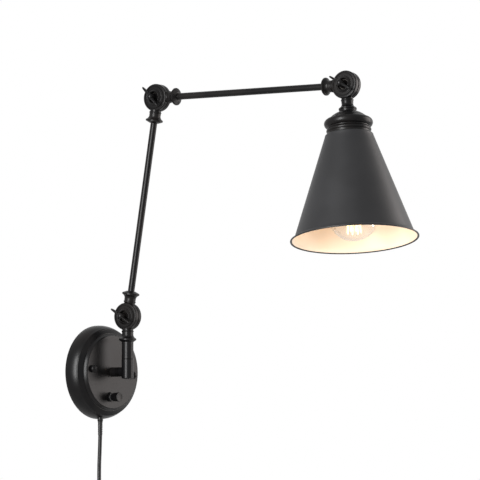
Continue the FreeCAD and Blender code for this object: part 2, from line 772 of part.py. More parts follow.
def cap_form(inset, top):
    """The holder cap's outer form, or with an inset the form of its inside."""
    bead = CAP_BEAD_RADIUS - inset
    rim = CAP_RIM_RADIUS - inset
    end = CAP_END + (1.0 if inset else 0.0)
    return turned(
        (0, top + inset),
        (FLANGE_RADIUS - 0.4 - 0.5 * inset, top + inset),
        (0.62 * bead, top + 4.0 + 0.6 * inset, 0.8 * bead, top + 8.4 + 0.5 * inset),
        (0.835 * bead, top + 9.1 + 0.5 * inset),
        (bead, CAP_END - 13.7, rim + 0.6, CAP_END - 9.4),
        (rim - 0.6, CAP_END - 8.2, rim + 0.1, CAP_END - 7.2),
        (rim + 1.3, CAP_END - 5.2, rim + 0.2, CAP_END - 3.0),
        (rim, CAP_END - 2.4),
        (rim, end),
        (0, end),
    )


def socket_cap():
    """The spun cap over the lamp holder."""
    shell = cap_form(0, HEAD_TOP).cut(cap_form(CAP_WALL, HEAD_TOP))
    return shell.cut(disc(NIPPLE_RADIUS, HEAD_TOP - 1, HEAD_TOP + CAP_WALL + 1))


def socket_nipple():
    """The threaded tube that joins the neck, the cap and the holder."""
    return ring(NIPPLE_RADIUS, WIRE_WAY, HEAD_TOP - NIPPLE_GRIP, HOLDER_TOP + NIPPLE_HOLD)


def socket_nut():
    """The nut inside the cap."""
    low = HEAD_TOP + CAP_WALL
    return hexagon(2 * (NIPPLE_RADIUS + NUT_WALL), NIPPLE_RADIUS, low, low + NUT_HEIGHT)


def socket_body():
    """The moulded lamp holder."""
    return turned(
        (WIRE_WAY, HOLDER_TOP + NIPPLE_HOLD),
        (NIPPLE_RADIUS, HOLDER_TOP + NIPPLE_HOLD),
        (NIPPLE_RADIUS, HOLDER_TOP),
        (HOLDER_RADIUS - 3.5, HOLDER_TOP),
        (HOLDER_RADIUS - 1.0, HOLDER_TOP + 0.8, HOLDER_RADIUS, HOLDER_TOP + 3.5),
        (HOLDER_RADIUS, HOLDER_END - 2.0),
        (HOLDER_RADIUS - 0.6, HOLDER_END - 0.6, HOLDER_RADIUS - 2.0, HOLDER_END),
        (SHELL_RADIUS, HOLDER_END),
        (SHELL_RADIUS, HOLDER_FLOOR),
        (WIRE_WAY, HOLDER_FLOOR),
    )


def socket_shell():
    """The screw shell that takes the bulb's base."""
    return ring(SHELL_RADIUS, SHELL_RADIUS - SHELL_WALL, HOLDER_FLOOR, HOLDER_END - 1.0)


def socket_contact():
    """The centre contact's spring tongue."""
    top = HOLDER_FLOOR + CONTACT_HEIGHT
    return turned((0, HOLDER_FLOOR), (CONTACT_RADIUS, HOLDER_FLOOR), (CONTACT_RADIUS, HOLDER_FLOOR + 0.6),
                  (0.5 * CONTACT_RADIUS, top - 1.0), (0.4 * CONTACT_RADIUS, top - 0.2), (0, top))


def shade_ring():
    """The threaded ring that clamps the shade up against the cap."""
    low = CAP_END + SHADE_WALL
    high = low + CLAMP_THICK
    outer = HOLDER_RADIUS + CLAMP_WIDTH
    return turned((HOLDER_RADIUS, low), (outer - 0.6, low), (outer, low + 0.6), (outer, high - 0.8),
                  (outer - 1.2, high), (HOLDER_RADIUS, high))


def shade():
    """The cone with its rounded top, flared lip and rolled edge."""
    wall = SHADE_WALL
    top = CAP_END
    hole = HOLDER_RADIUS + HOLE_CLEARANCE
    foot = SHADE_END - SHADE_LIP
    lip = SHADE_RADIUS - SHADE_ROLL
    low_lip = SHADE_END - SHADE_ROLL
    skin = turned(
        (hole, top),
        (SHADE_TOP_RADIUS - 2.4, top),
        (SHADE_TOP_RADIUS - 0.6, top + 0.6, SHADE_TOP_RADIUS, top + 2.2),
        (SHADE_CONE_RADIUS, foot),
        (SHADE_CONE_RADIUS + 1.6, foot + 2.3, lip, low_lip - wall / 2),
        (lip, low_lip + wall / 2),
        (SHADE_CONE_RADIUS + 1.0, foot + 3.1, SHADE_CONE_RADIUS - wall, foot + 0.3),
        (SHADE_TOP_RADIUS - wall, top + 2.5),
        (SHADE_TOP_RADIUS - 1.3, top + 1.3, SHADE_TOP_RADIUS - 2.6, top + wall),
        (hole, top + wall),
    )
    edge = Part.makeTorus(lip, SHADE_ROLL, Vector(0, 0, low_lip))
    return skin.fuse(edge)


def bulb_form(inset):
    """The bulb's glass outside, or with an inset its inside."""
    neck = BULB_NECK_RADIUS - inset
    belly = BULB_RADIUS - inset
    foot = BULB_START - (1.0 if inset else 0.0)
    tip = BULB_TIP - inset
    length = BULB_TIP - BULB_START
    return turned(
        (0, foot),
        (neck, foot),
        (neck, BULB_START + 0.05 * length),
        (0.5 * (neck + belly) - 1.4, BULB_START + 0.33 * length, 0.953 * belly, BULB_START + 0.64 * length),
        (belly, BULB_START + 0.765 * length, 0.84 * belly, BULB_START + 0.885 * length),
        dome(0.84 * belly, BULB_START + 0.885 * length, tip),
    )


def bulb_glass():
    """The clear glass of a squirrel cage bulb."""
    return bulb_form(0).cut(bulb_form(GLASS_WALL))


def bulb_base():
    """The bulb's screw base with its rolled thread and centre button."""
    low = HOLDER_FLOOR + CONTACT_HEIGHT
    radius = SHELL_RADIUS - SHELL_WALL - BASE_CLEARANCE
    base = turned((0, low), (3.5, low), (4.5, low + 1.2), (radius - 2.5, low + 3.0), (radius, low + 5.5),
                  (radius, BULB_START), (0, BULB_START))
    for i in range(BASE_GROOVES):
        middle = low + 8.0 + BASE_PITCH * i
        base = base.cut(Part.makeTorus(radius + 0.5, 1.1, Vector(0, 0, middle)))
    return base


def bulb_stem():
    """The glass stem that carries the filament's supports."""
    foot = BULB_START
    top = foot + STEM_LENGTH
    wide = BULB_NECK_RADIUS - GLASS_WALL - 1.0
    return turned((0, foot), (wide, foot), (6.0, foot + 6.0, 3.4, foot + 16.0), (2.4, foot + 34.0),
                  (1.6, top - 4.0), (2.6, top - 2.0), (0, top))


def bulb_filament():
    """The cage of upright filament wires round the stem."""
    low = HOLDER_END + FILAMENT_START
    high = BULB_TIP - FILAMENT_FROM_TIP
    wires = []
    for i in range(FILAMENT_COUNT):
        angle = 2 * math.pi * i / FILAMENT_COUNT
        out = Vector(math.cos(angle), math.sin(angle), 0)
        start = out * FILAMENT_CLOSE + Vector(0, 0, low)
        along = out * FILAMENT_WIDE + Vector(0, 0, high) - start
        wires.append(Part.makeCylinder(FILAMENT_RADIUS, along.Length, start, along))
    return bundle(wires)


# ---- cord ------------------------------------------------------------------------------


def cord_coil():
    """The put-away cord, as the one ring that its turns fill, about -Y."""
    half = COIL_HALF
    soft = CORD_RADIUS
    inner = COIL_RADIUS - half
    outer = COIL_RADIUS + half
    nip = soft * (1 - math.sqrt(0.5))
    form = turned(
        (inner + soft, -half),
        (outer - soft, -half),
        (outer - nip, -half + nip, outer, -half + soft),
        (outer, half - soft),
        (outer - nip, half - nip, outer - soft, half),
        (inner + soft, half),
        (inner + nip, half - nip, inner, half - soft),
        (inner, -half + soft),
        (inner + nip, -half + nip, inner + soft, -half),
    )
    return put(form, Placement(COIL_CENTRE, OUTWARDS.Rotation))


def power_cord():
    """The cord from the strain relief down to where it joins the coil."""
    return hose(CORD_ROUTE, CORD_RADIUS, "cord").cut(cord_coil())


def coil_tie():
    """The strap round the bundle where the cord comes in."""
    outer = 2 * (COIL_HALF + TIE_THICK)
    middle = COIL_CENTRE - Vector(COIL_RADIUS, 0, 0)
    block = Part.makeBox(outer, outer, TIE_WIDTH, middle - Vector(outer, outer, TIE_WIDTH) / 2)
    block = block.makeFillet(CORD_RADIUS, upright_edges(block))
    cord_end = Part.makeCylinder(CORD_RADIUS, TIE_WIDTH, Vector(*CORD_ROUTE[-1]), Z_AXIS)
    return block.cut([cord_coil(), cord_end])


def plug_place():
    """The middle of the plug's top, where the cord's other end goes in."""
    return Vector(CORD_ROUTE[-1][0], COIL_CENTRE.y - COIL_SHIFT, PLUG_TOP)


def plug_body():
    """A moulded plug with a grip that narrows to the cord."""
    wide, deep, long = PLUG_SIZE
    place = plug_place()
    grip = Part.makeBox(wide, deep, 0.6 * long, place - Vector(wide / 2, deep / 2, long))
    grip = grip.makeFillet(0.2 * deep, upright_edges(grip))
    cone = Part.makeCone(CORD_RADIUS + 1.2, 0.45 * deep, 0.4 * long, place, Vector(0, 0, -1))
    return grip.fuse(cone).removeSplitter()


def plug_blades():
    """Two flat blades."""
    thick, wide, long = BLADE_SIZE
    foot = plug_place() - Vector(0, 0, PLUG_SIZE[2])
    blades = []
    for side in (-1, 1):
        corner = foot + Vector((side * BLADE_SPACING - thick) / 2, -wide / 2, -long)
        blades.append(Part.makeBox(thick, wide, long, corner))
    return bundle(blades)


# ---- assembly ----------------------------------------------------------------------------


def wall_nodes():
    """What stays still on the wall."""
    return {
        "wall_bracket": wall_bracket(),
        "bracket_studs": bracket_studs(),
        "canopy": canopy(),
        "canopy_cap_nuts": canopy_cap_nuts(),
        "stub_tube": stub_tube(),
        "stub_lock_washer": stub_lock_washer(),
        "stub_lock_nut": stub_lock_nut(),
        "lower_barrel": lower_barrel(),
        "barrel_plug": barrel_plug(),
        "switch_body": switch_body(),
        "switch_nut": switch_nut(),
        "switch_shaft": switch_shaft(),
        "switch_knob": switch_knob(),
        "wire_nut": wire_nut(),
        "canopy_leads": canopy_leads(),
        "strain_relief": cord_gland(),
        "power_cord": power_cord(),
        "cord_coil": cord_coil(),
        "coil_tie": coil_tie(),
        "plug_body": plug_body(),
        "plug_blades": plug_blades(),
    }


def swivel_nodes():
    """What turns on the barrel below the first knuckle."""
    return {
        "swivel_pin": swivel_pin(),
        "swivel_nut": swivel_nut(),
        "upper_barrel": upper_barrel(),
    }


def knuckle_nodes(number, front, pivot, back_frame, lean):
    """One knuckle: its two eyes, friction disc, washer, cap nut and wing screw."""
    level = pivot * turn(X_AXIS, -lean)
    wing_frame = level * FRONTWARDS * turn(Z_AXIS, WING_TURNS[number - 1])
    back = head_eye() if number == 3 else near_eye()
    name = f"knuckle_{number}_"
    return {
        name + "front_eye": put(far_eye(front), pivot),
        name + "back_eye": put(back, back_frame),
        name + "friction_disc": put(friction_disc(), back_frame),
        name + "cap_nut": put(knuckle_nut(), back_frame),
        name + "washer": put(screw_washer(), pivot),
        name + "wing_screw": put(wing_screw(), wing_frame),
    }


def arm_nodes():
    """The two rods, their leads and the three knuckles."""
    nodes = {
        "lower_rod": put(rod(), LOWER_ARM),
        "lower_leads": put(rod_leads(), LOWER_ARM),
        "upper_rod": put(rod(), UPPER_ARM),
        "upper_leads": put(rod_leads(), UPPER_ARM),
    }
    nodes.update(knuckle_nodes(1, base_eye(), PIVOT_1, LOWER_ARM, 0))
    nodes.update(knuckle_nodes(2, near_eye(), PIVOT_2, UPPER_ARM, LOWER_LEAN))
    nodes.update(knuckle_nodes(3, near_eye(), PIVOT_3, HEAD, LOWER_LEAN + UPPER_FOLD))
    return nodes


def head_nodes():
    """The lamp holder, shade and bulb, made along the head's own axis."""
    pieces = {
        "socket_nipple": socket_nipple(),
        "socket_nut": socket_nut(),
        "socket_cap": socket_cap(),
        "socket_body": socket_body(),
        "socket_shell": socket_shell(),
        "socket_contact": socket_contact(),
        "shade_ring": shade_ring(),
        "shade": shade(),
        "bulb_glass": bulb_glass(),
        "bulb_base": bulb_base(),
        "bulb_stem": bulb_stem(),
        "bulb_filament": bulb_filament(),
    }
    return {name: put(shape, HEAD) for name, shape in pieces.items()}


def main():
    """Build every piece and write one file for each."""
    os.makedirs("parts", exist_ok=True)
    nodes = {}
    for group in (wall_nodes(), swivel_nodes(), arm_nodes(), head_nodes()):
        nodes.update(group)
    for name, shape in nodes.items():
        shape.exportStep(f"parts/{name}.step")
        print(f"{name}: {len(shape.Solids)} solids, valid {shape.isValid()}, {shape.Volume:.0f} mm3")
    print(len(nodes), "nodes")


main()
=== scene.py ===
"""The looks of a swing arm wall sconce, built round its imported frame.

The sizes of the pieces are in millimetres, and their meshes, the joints and the studio are
in metres.  Every mesh is made in the lamp's own frame: the wall is the plane Y = 0, the lamp
stands out of it towards -Y, and +Z is up.
"""
import json
import logging
import math
from dataclasses import dataclass, field
from enum import Enum
from functools import cached_property
from typing import Callable, Dict, Iterable, List, Optional, Sequence, Tuple, Union

import bmesh
import bpy
from bpy.types import ID, Material, Mesh, Node, NodeSocket, NodeTree, Object
from mathutils import Matrix, Vector


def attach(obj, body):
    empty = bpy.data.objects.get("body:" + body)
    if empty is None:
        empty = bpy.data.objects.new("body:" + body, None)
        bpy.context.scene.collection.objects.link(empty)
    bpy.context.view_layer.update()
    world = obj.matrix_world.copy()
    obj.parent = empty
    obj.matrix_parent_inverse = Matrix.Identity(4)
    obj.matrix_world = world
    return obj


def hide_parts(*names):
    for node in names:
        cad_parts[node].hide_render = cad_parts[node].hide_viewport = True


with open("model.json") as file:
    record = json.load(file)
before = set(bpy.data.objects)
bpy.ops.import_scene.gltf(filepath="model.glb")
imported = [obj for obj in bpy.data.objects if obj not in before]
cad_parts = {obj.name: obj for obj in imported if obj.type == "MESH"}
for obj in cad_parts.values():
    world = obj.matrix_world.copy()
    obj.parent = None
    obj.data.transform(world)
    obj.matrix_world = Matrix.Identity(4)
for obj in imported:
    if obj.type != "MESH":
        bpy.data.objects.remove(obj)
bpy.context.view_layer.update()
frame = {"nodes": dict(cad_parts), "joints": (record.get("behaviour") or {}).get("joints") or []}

MM = 0.001
LOG = logging.getLogger("wall_sconce")

Point = Tuple[float, float]
Colour = Tuple[float, float, float]
Operand = Union["Signal", float, int, Sequence[float]]


# Node trees.


def math_operator(operation: str) -> Callable[["Signal", Operand], "Signal"]:
    """A Python operator that adds a Math node."""
    return lambda self, other: self.graph.math(operation, self, other)


class Signal:
    """An output socket whose Python operators add Math nodes."""

    def __init__(self, graph: "Graph", socket: NodeSocket) -> None:
        """Keep the socket and the tree that it is in."""
        self.graph = graph
        self.socket = socket

    __add__ = __radd__ = math_operator("ADD")
    __sub__ = math_operator("SUBTRACT")
    __mul__ = math_operator("MULTIPLY")
    __truediv__ = math_operator("DIVIDE")
    __pow__ = math_operator("POWER")

    def between(self, low: float, high: float) -> "Signal":
        """Rise smoothly from 0 at low to 1 at high."""
        return self.graph.out("ShaderNodeMapRange", "Result", {"interpolation_type": "SMOOTHSTEP"},
                              Value=self, From_Min=low, From_Max=high)


class Graph:
    """A node tree that is being made, for a material, a world or Geometry Nodes."""

    def __init__(self, tree: NodeTree) -> None:
        """Start from a tree, which may hold nodes already."""
        self.tree = tree

    def node(self, kind: str, settings: Optional[Dict[str, str]] = None, **inputs: Operand) -> Node:
        """Add a node.

        Args:
            kind: The node's type.
            settings: Its properties, set first.
            inputs: The values or links of its sockets, with underlines for the spaces in their names.

        Returns:
            The node.
        """
        node = self.tree.nodes.new(kind)
        for name, value in (settings or {}).items():
            setattr(node, name, value)
        self.fill(node, **inputs)
        return node

    def fill(self, node: Node, **inputs: Operand) -> None:
        """Feed several sockets of a node, with underlines for the spaces in their names."""
        for name, value in inputs.items():
            self.feed(node.inputs[name.replace("_", " ")], value)

    def feed(self, socket: NodeSocket, value: Operand) -> None:
        """Link a signal to a socket, or set the socket's own value."""
        if isinstance(value, Signal):
            self.tree.links.new(value.socket, socket)
        else:
            socket.default_value = value

    def out(self, kind: str, output: Union[int, str] = 0, settings: Optional[Dict[str, str]] = None,
            **inputs: Operand) -> Signal:
        """Add a node and return one of its outputs."""
        return Signal(self, self.node(kind, settings, **inputs).outputs[output])

    def math(self, operation: str, *values: Operand) -> Signal:
        """Add a Math node."""
        node = self.node("ShaderNodeMath", {"operation": operation})
        for socket, value in zip(node.inputs, values):
            self.feed(socket, value)
        return Signal(self, node.outputs[0])

    def parts(self, vector: Signal) -> Tuple[Signal, ...]:
        """The X, Y and Z of a vector."""
        node = self.node("ShaderNodeSeparateXYZ", Vector=vector)
        return tuple(Signal(self, output) for output in node.outputs)

    def mix(self, share: Operand, first: Colour, second: Union[Colour, Signal]) -> Signal:
        """Mix two colours."""
        node = self.node("ShaderNodeMix", {"data_type": "RGBA"}, Factor=share)
        for key, colour in ((6, first), (7, second)):
            self.feed(node.inputs[key], colour if isinstance(colour, Signal) else (*colour, 1.0))
        return Signal(self, node.outputs[2])

    @cached_property
    def place(self) -> Signal:
        """The point on the object, in metres."""
        return self.out("ShaderNodeTexCoord", "Object")

    def noise(self, scale: float, detail: float = 2.0, rough: float = 0.5) -> Signal:
        """Soft noise, with its scale in waves for each metre."""
        return self.out("ShaderNodeTexNoise", "Fac", Vector=self.place, Scale=scale, Detail=detail,
                        Roughness=rough)

    def bump(self, height: Operand, depth: float, strength: float) -> Signal:
        """A normal that is tilted by a height, with its depth in metres and the share of it that shows."""
        return self.out("ShaderNodeBump", Height=height, Distance=depth, Strength=strength)


# Finishes.


class Lustre(Enum):
    """How a paint was put on."""

    SATIN = "satin"
    MATTE = "matte"


@dataclass(frozen=True)
class Finish:
    """A material that is made once and then shared."""

    name: str
    slot: str

    def material(self) -> Material:
        """Return the finish as a material, making it the first time."""
        made = bpy.data.materials.get(self.name)
        if made is None:
            made = bpy.data.materials.new(self.name)
            made.use_nodes = True
            graph = Graph(made.node_tree)
            shader = made.node_tree.nodes["Principled BSDF"]
            graph.fill(shader, **self.dress(graph))
        return made

    def dress(self, graph: Graph) -> Dict[str, Operand]:
        """What each socket of the shader gets, with underlines for the spaces in its name."""
        raise NotImplementedError


@dataclass(frozen=True)
class BakedPaint(Finish):
    """Black paint, sprayed and baked, with a faint orange peel, and warm clouds in its colour that are a
    painted reflection.
    """

    deep: Colour = (0.0015, 0.0015, 0.0017)
    reflection_tint: Colour = (0.0040, 0.0034, 0.0032)
    lustre: Lustre = Lustre.SATIN
    peel: float = 700.0
    peel_depth: float = 2.5e-6

    def dress(self, graph: Graph) -> Dict[str, Operand]:
        """Clouds in the gloss and, as a painted reflection, in the colour, and a fine peel in the gloss and
        the relief.
        """
        clouds = graph.noise(24.0, 3.0).between(0.35, 0.7)
        peel = graph.noise(self.peel, 2.0, 0.55)
        satin = self.lustre is Lustre.SATIN
        gloss = (0.30 if satin else 0.42) + clouds * 0.04 + peel * 0.04
        # mixing towards the second colour paints a warm reflection into the base colour; the clouds' change
        # of gloss is real
        return dict(Base_Color=graph.mix(clouds, self.deep, self.reflection_tint), Roughness=gloss,
                    Specular_IOR_Level=0.12 if satin else 0.24,
                    Normal=graph.bump(peel, self.peel_depth, 0.4))


@dataclass(frozen=True)
class EnamelWithPaintedGlow(Finish):
    """White enamel inside the shade, its colour tinted warm as painted light of the lit bulb."""

    # both colours carry a warm tint that is painted light: the lit bulb's warm glow on white enamel
    white: Colour = (0.84, 0.67, 0.51)
    shade: Colour = (0.82, 0.64, 0.46)

    def dress(self, graph: Graph) -> Dict[str, Operand]:
        """Even white, tinted warm as painted bulb light, with a faint cloudiness and peel."""
        clouds = graph.noise(18.0, 2.0).between(0.3, 0.75)
        peel = graph.noise(1100.0, 2.0)
        return dict(Base_Color=graph.mix(clouds, self.white, self.shade),
                    Roughness=0.42 + clouds * 0.08, Specular_IOR_Level=0.4,
                    Normal=graph.bump(peel, 2e-5, 0.4))


@dataclass(frozen=True)
class PlatedMetal(Finish):
    """Bare or plated metal with fine tool marks."""

    bright: Colour = (0.66, 0.66, 0.64)
    dull: Colour = (0.42, 0.41, 0.39)
    rough: float = 0.28
    marks: float = 2600.0

    def dress(self, graph: Graph) -> Dict[str, Operand]:
        """Dull patches, and marks that change the gloss and the relief."""
        patches = graph.noise(160.0, 4.0, 0.6).between(0.35, 0.7)
        marks = graph.noise(self.marks, 3.0, 0.6)
        return dict(Base_Color=graph.mix(patches, self.bright, self.dull),
                    Metallic=1.0, Roughness=self.rough + patches * 0.14 + marks * 0.08,
                    Normal=graph.bump(marks, 1.5e-5, 0.5))


@dataclass(frozen=True)
class Moulded(Finish):
    """Moulded plastic, rubber or porcelain."""

    body: Colour = (0.03, 0.03, 0.03)
    worn: Colour = (0.06, 0.06, 0.06)
    rough: float = 0.45
    grain: float = 2200.0
    depth: float = 2e-5
    gloss_coat: float = 0.0
    shine: float = 0.5

    def dress(self, graph: Graph) -> Dict[str, Operand]:
        """A mould's grain, and a little dust in the colour."""
        dust = graph.noise(90.0, 4.0, 0.6).between(0.45, 0.8)
        grain = graph.noise(self.grain, 2.0, 0.5)
        return dict(Base_Color=graph.mix(dust * 0.6, self.body, self.worn),
                    Roughness=self.rough + dust * 0.1, Coat_Weight=self.gloss_coat,
                    Specular_IOR_Level=self.shine,
                    Normal=graph.bump(grain, self.depth, 0.6))


@dataclass(frozen=True)
class BlownGlass(Finish):
    """Thin clear glass: it mirrors more at its edge, and lets the rest through."""

    facing_share: float = 0.05
    edge_share: float = 0.55

    def dress(self, graph: Graph) -> Dict[str, Operand]:
        """A mirror whose cover grows towards the edge, faintly uneven like blown glass."""
        edge = graph.out("ShaderNodeLayerWeight", "Facing", Blend=0.5)
        waves = graph.noise(45.0, 1.0)
        cover = self.facing_share + (edge ** 3.0) * (self.edge_share - self.facing_share)
        return dict(Base_Color=(0.86, 0.88, 0.88, 1.0), Metallic=1.0, Roughness=0.03,
                    Alpha=cover, Normal=graph.bump(waves, 2e-4, 0.25))


@dataclass(frozen=True)
class GlowingWire(Finish):
    """Filament wire that glows, its heat varying along the wire."""

    hot: Colour = (1.0, 0.80, 0.48)
    strength: float = 3.2

    def dress(self, graph: Graph) -> Dict[str, Operand]:
        """Emission with a slow flicker of heat along the wire."""
        heat = graph.noise(120.0, 2.0).between(0.2, 0.7)
        return dict(Base_Color=(0.2, 0.12, 0.06, 1.0), Roughness=0.6,
                    Emission_Color=graph.mix(heat, (1.0, 0.62, 0.28), self.hot),
                    Emission_Strength=self.strength)


@dataclass(frozen=True)
class WovenStrap(Finish):
    """Hook and loop strap: a fine weave across its own map."""

    thread: Colour = (0.018, 0.018, 0.020)
    gap: Colour = (0.004, 0.004, 0.004)
    threads: float = 9.0

    def dress(self, graph: Graph) -> Dict[str, Operand]:
        """Threads over and under each other, on the strap's own map in millimetres."""
        along, across, _ = graph.parts(graph.out("ShaderNodeTexCoord", "UV"))
        weave = graph.math("SINE", along * self.threads) * graph.math("SINE", across * self.threads)
        height = weave * 0.5 + 0.5
        return dict(Base_Color=graph.mix(height, self.gap, self.thread), Roughness=0.88,
                    Normal=graph.bump(height, 1.6e-4, 0.8))


@dataclass(frozen=True)
class StudioPaper(Finish):
    """The pale floor that the room light falls on."""

    def dress(self, graph: Graph) -> Dict[str, Operand]:
        """Plain paper with a hardly visible mottle."""
        mottle = graph.noise(1.5, 2.0)
        colour = graph.mix(mottle, (0.80, 0.80, 0.80), (0.84, 0.84, 0.84))
        return dict(Base_Color=colour, Roughness=0.9)


class Paints:
    """Every finish of the lamp."""

    SATIN = BakedPaint("satin_black_paint", "black_paint")
    # the second colour is the tint of this paint's painted reflection clouds
    SHADE = BakedPaint("matte_black_shade", "shade_paint", (0.0060, 0.0060, 0.0066), (0.0075, 0.0075, 0.0082),
                       Lustre.MATTE, 900.0, 2.5e-6)
    ENAMEL = EnamelWithPaintedGlow("white_enamel_painted_glow", "shade_paint")
    ZINC = PlatedMetal("zinc_plated_steel", "zinc_steel")
    BLACKENED = PlatedMetal("blackened_steel", "zinc_steel", (0.020, 0.019, 0.018), (0.032, 0.030, 0.027),
                            0.34)
    NYLON = Moulded("nylon_disc", "nylon", (0.70, 0.69, 0.64), (0.55, 0.53, 0.48), 0.5)
    SWITCH = Moulded("switch_moulding", "switch_moulding", (0.035, 0.034, 0.033), (0.07, 0.07, 0.065), 0.5)
    CONNECTOR = Moulded("connector_plastic", "wire_nut_plastic", (0.75, 0.30, 0.03), (0.55, 0.24, 0.05), 0.35)
    LEAD = Moulded("lead_insulation", "lead_insulation", (0.05, 0.05, 0.05), (0.09, 0.09, 0.09), 0.4)
    SHEATH = Moulded("cord_sheath", "cord_jacket", (0.003, 0.003, 0.003), (0.006, 0.006, 0.006), 0.34, 1200.0,
                     4e-6, 0.0, 0.16)
    NICKEL = PlatedMetal("nickel_plated_brass", "nickel_brass", (0.72, 0.66, 0.52), (0.55, 0.46, 0.32), 0.2)
    PORCELAIN = Moulded("holder_porcelain", "holder_moulding", (0.82, 0.80, 0.75), (0.70, 0.66, 0.58), 0.22,
                        700.0, 3e-5, 0.5)
    ALUMINIUM = PlatedMetal("rolled_aluminium", "aluminium_shell", (0.80, 0.80, 0.80), (0.62, 0.62, 0.61),
                            0.26)
    GLASS = BlownGlass("clear_bulb_glass", "clear_glass")
    STEM_GLASS = BlownGlass("stem_glass", "clear_glass", 0.12, 0.7)
    FILAMENT = GlowingWire("filament_wire", "filament_glow")
    STRAP = WovenStrap("strap_weave", "tie_strap")
    PAPER = StudioPaper("studio_paper", "")


# Frames.


def axes_at(origin: Vector, x_axis: Vector, z_axis: Vector) -> Matrix:
    """A frame with its own X and Z axes.

    Args:
        origin: Where the frame is, in metres.
        x_axis: The direction of its X axis.
        z_axis: The direction of its Z axis, square to the X axis.

    Returns:
        The frame's matrix.
    """
    x_axis = x_axis.normalized()
    z_axis = z_axis.normalized()
    y_axis = z_axis.cross(x_axis)
    turn = Matrix((x_axis, y_axis, z_axis)).transposed()
    return Matrix.Translation(origin) @ turn.to_4x4()


def spun(degrees: float) -> Matrix:
    """A turn about Z."""
    return Matrix.Rotation(math.radians(degrees), 4, "Z")


@dataclass
class Skeleton:
    """The lamp's frames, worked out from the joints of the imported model."""

    canopy_turn: float = 5.5
    head_fold: float = 82.3
    joints: Dict[str, dict] = field(default_factory=lambda: {j["name"]: j for j in frame["joints"]})

    def pivot(self, name: str) -> Vector:
        """Where a joint is."""
        return Vector(self.joints[name]["pos_m"])

    def axis(self, name: str) -> Vector:
        """Which way a joint's axis points."""
        return Vector(self.joints[name]["axis"])

    @property
    def canopy(self) -> Matrix:
        """On the wall: Z out of it, X along the two cap nuts."""
        turn = Matrix.Rotation(math.radians(self.canopy_turn), 4, "Y")
        return turn @ Matrix.Rotation(math.radians(90), 4, "X")

    @property
    def upper_arm(self) -> Matrix:
        """From the second knuckle to the third."""
        start = self.pivot("knuckle_2_tilt")
        return axes_at(start, -self.axis("knuckle_2_tilt"), self.pivot("knuckle_3_tilt") - start)

    @property
    def head(self) -> Matrix:
        """From the third knuckle to the middle of the shade's mouth."""
        hinge = self.axis("knuckle_3_tilt")
        fold = Matrix.Rotation(math.radians(self.head_fold), 3, hinge)
        along = self.upper_arm.to_3x3() @ Vector((0, 0, 1))
        return axes_at(self.pivot("knuckle_3_tilt"), hinge, fold @ along)

    def wing(self, number: int, turn: float) -> Matrix:
        """The frame of a wing screw: Z along the screw, and its wings along X.

        Args:
            number: Which knuckle, from 1.
            turn: How far the wings are turned from straight up, in degrees.

        Returns:
            The frame's matrix.
        """
        joint = f"wing_screw_{number}_turn"
        out = self.axis(joint)
        up = Vector((0, 0, 1))
        up = (up - out * up.dot(out)).normalized()
        return axes_at(self.pivot(joint), up, out) @ spun(turn)


# Meshes.


class Outline:
    """A run of (radius, height) points in millimetres, with round stretches as arcs."""

    def __init__(self, radius: float, height: float) -> None:
        """Start at a point."""
        self.points: List[Point] = [(radius, height)]

    def to(self, radius: float, height: float) -> "Outline":
        """Go straight on to a point."""
        self.points.append((radius, height))
        return self

    def by(self, middle: Point, end: Point, steps: int = 8) -> "Outline":
        """Go on through a middle point to an end point, round one arc.

        Args:
            middle: A point on the arc.
            end: The arc's last point.
            steps: How many chords stand for the arc.

        Returns:
            The outline itself.
        """
        (ax, ay), (bx, by), (cx, cy) = self.points[-1], middle, end
        twice = 2 * (ax * (by - cy) + bx * (cy - ay) + cx * (ay - by))
        if abs(twice) < 1e-9:
            return self.to(*end)
        squares = [x * x + y * y for x, y in ((ax, ay), (bx, by), (cx, cy))]
        ux = (squares[0] * (by - cy) + squares[1] * (cy - ay) + squares[2] * (ay - by)) / twice
        uy = (squares[0] * (cx - bx) + squares[1] * (ax - cx) + squares[2] * (bx - ax)) / twice
        radius = math.hypot(ax - ux, ay - uy)
        first = math.atan2(ay - uy, ax - ux)
        half = math.remainder(math.atan2(by - uy, bx - ux) - first, math.tau)
        sweep = math.remainder(math.atan2(cy - uy, cx - ux) - first, math.tau)
        if half * sweep < 0 or abs(half) > abs(sweep):
            sweep -= math.copysign(math.tau, sweep)
        for i in range(1, steps + 1):
            angle = first + sweep * i / steps
            self.points.append((ux + radius * math.cos(angle), uy + radius * math.sin(angle)))
        return self

    def along(self, end: Point, steps: int) -> "Outline":
        """Go straight on to an end point in equal steps."""
        (x, y), (end_x, end_y) = self.points[-1], end
        for share in (step / steps for step in range(1, steps + 1)):
            self.to(x + (end_x - x) * share, y + (end_y - y) * share)
        return self

    def dome(self, tip: float, steps: int = 8) -> "Outline":
        """Close over to the axis with a round dome or dish."""
        radius, edge = self.points[-1]
        rise = tip - edge
        ball = (radius ** 2 + rise ** 2) / (2 * rise)
        half = math.atan2(radius, abs(ball) - abs(rise)) / 2
        middle = (abs(ball) * math.sin(half), tip - ball * (1 - math.cos(half)))
        return self.by(middle, (0.0, tip), steps)


def link(data: ID, name: str) -> Object:
    """Show a mesh, a curve, a light or a camera as an object at the origin."""
    made = bpy.data.objects.new(name, data)
    bpy.context.scene.collection.objects.link(made)
    return made


def shade_smooth(mesh: Mesh, crease: float = 35.0) -> None:
    """Shade a mesh smoothly, with edges sharper than an angle left as creases."""
    for polygon in mesh.polygons:
        polygon.use_smooth = True
    mesh.set_sharp_from_angle(angle=math.radians(crease))


def tidied(mesh: Mesh) -> None:
    """Merge a mesh's doubles and turn its faces outwards."""
    work = bmesh.new()
    work.from_mesh(mesh)
    bmesh.ops.remove_doubles(work, verts=work.verts, dist=1e-7)
    bmesh.ops.dissolve_degenerate(work, edges=work.edges, dist=1e-8)
    bmesh.ops.recalc_face_normals(work, faces=work.faces)
    work.to_mesh(mesh)
    work.free()


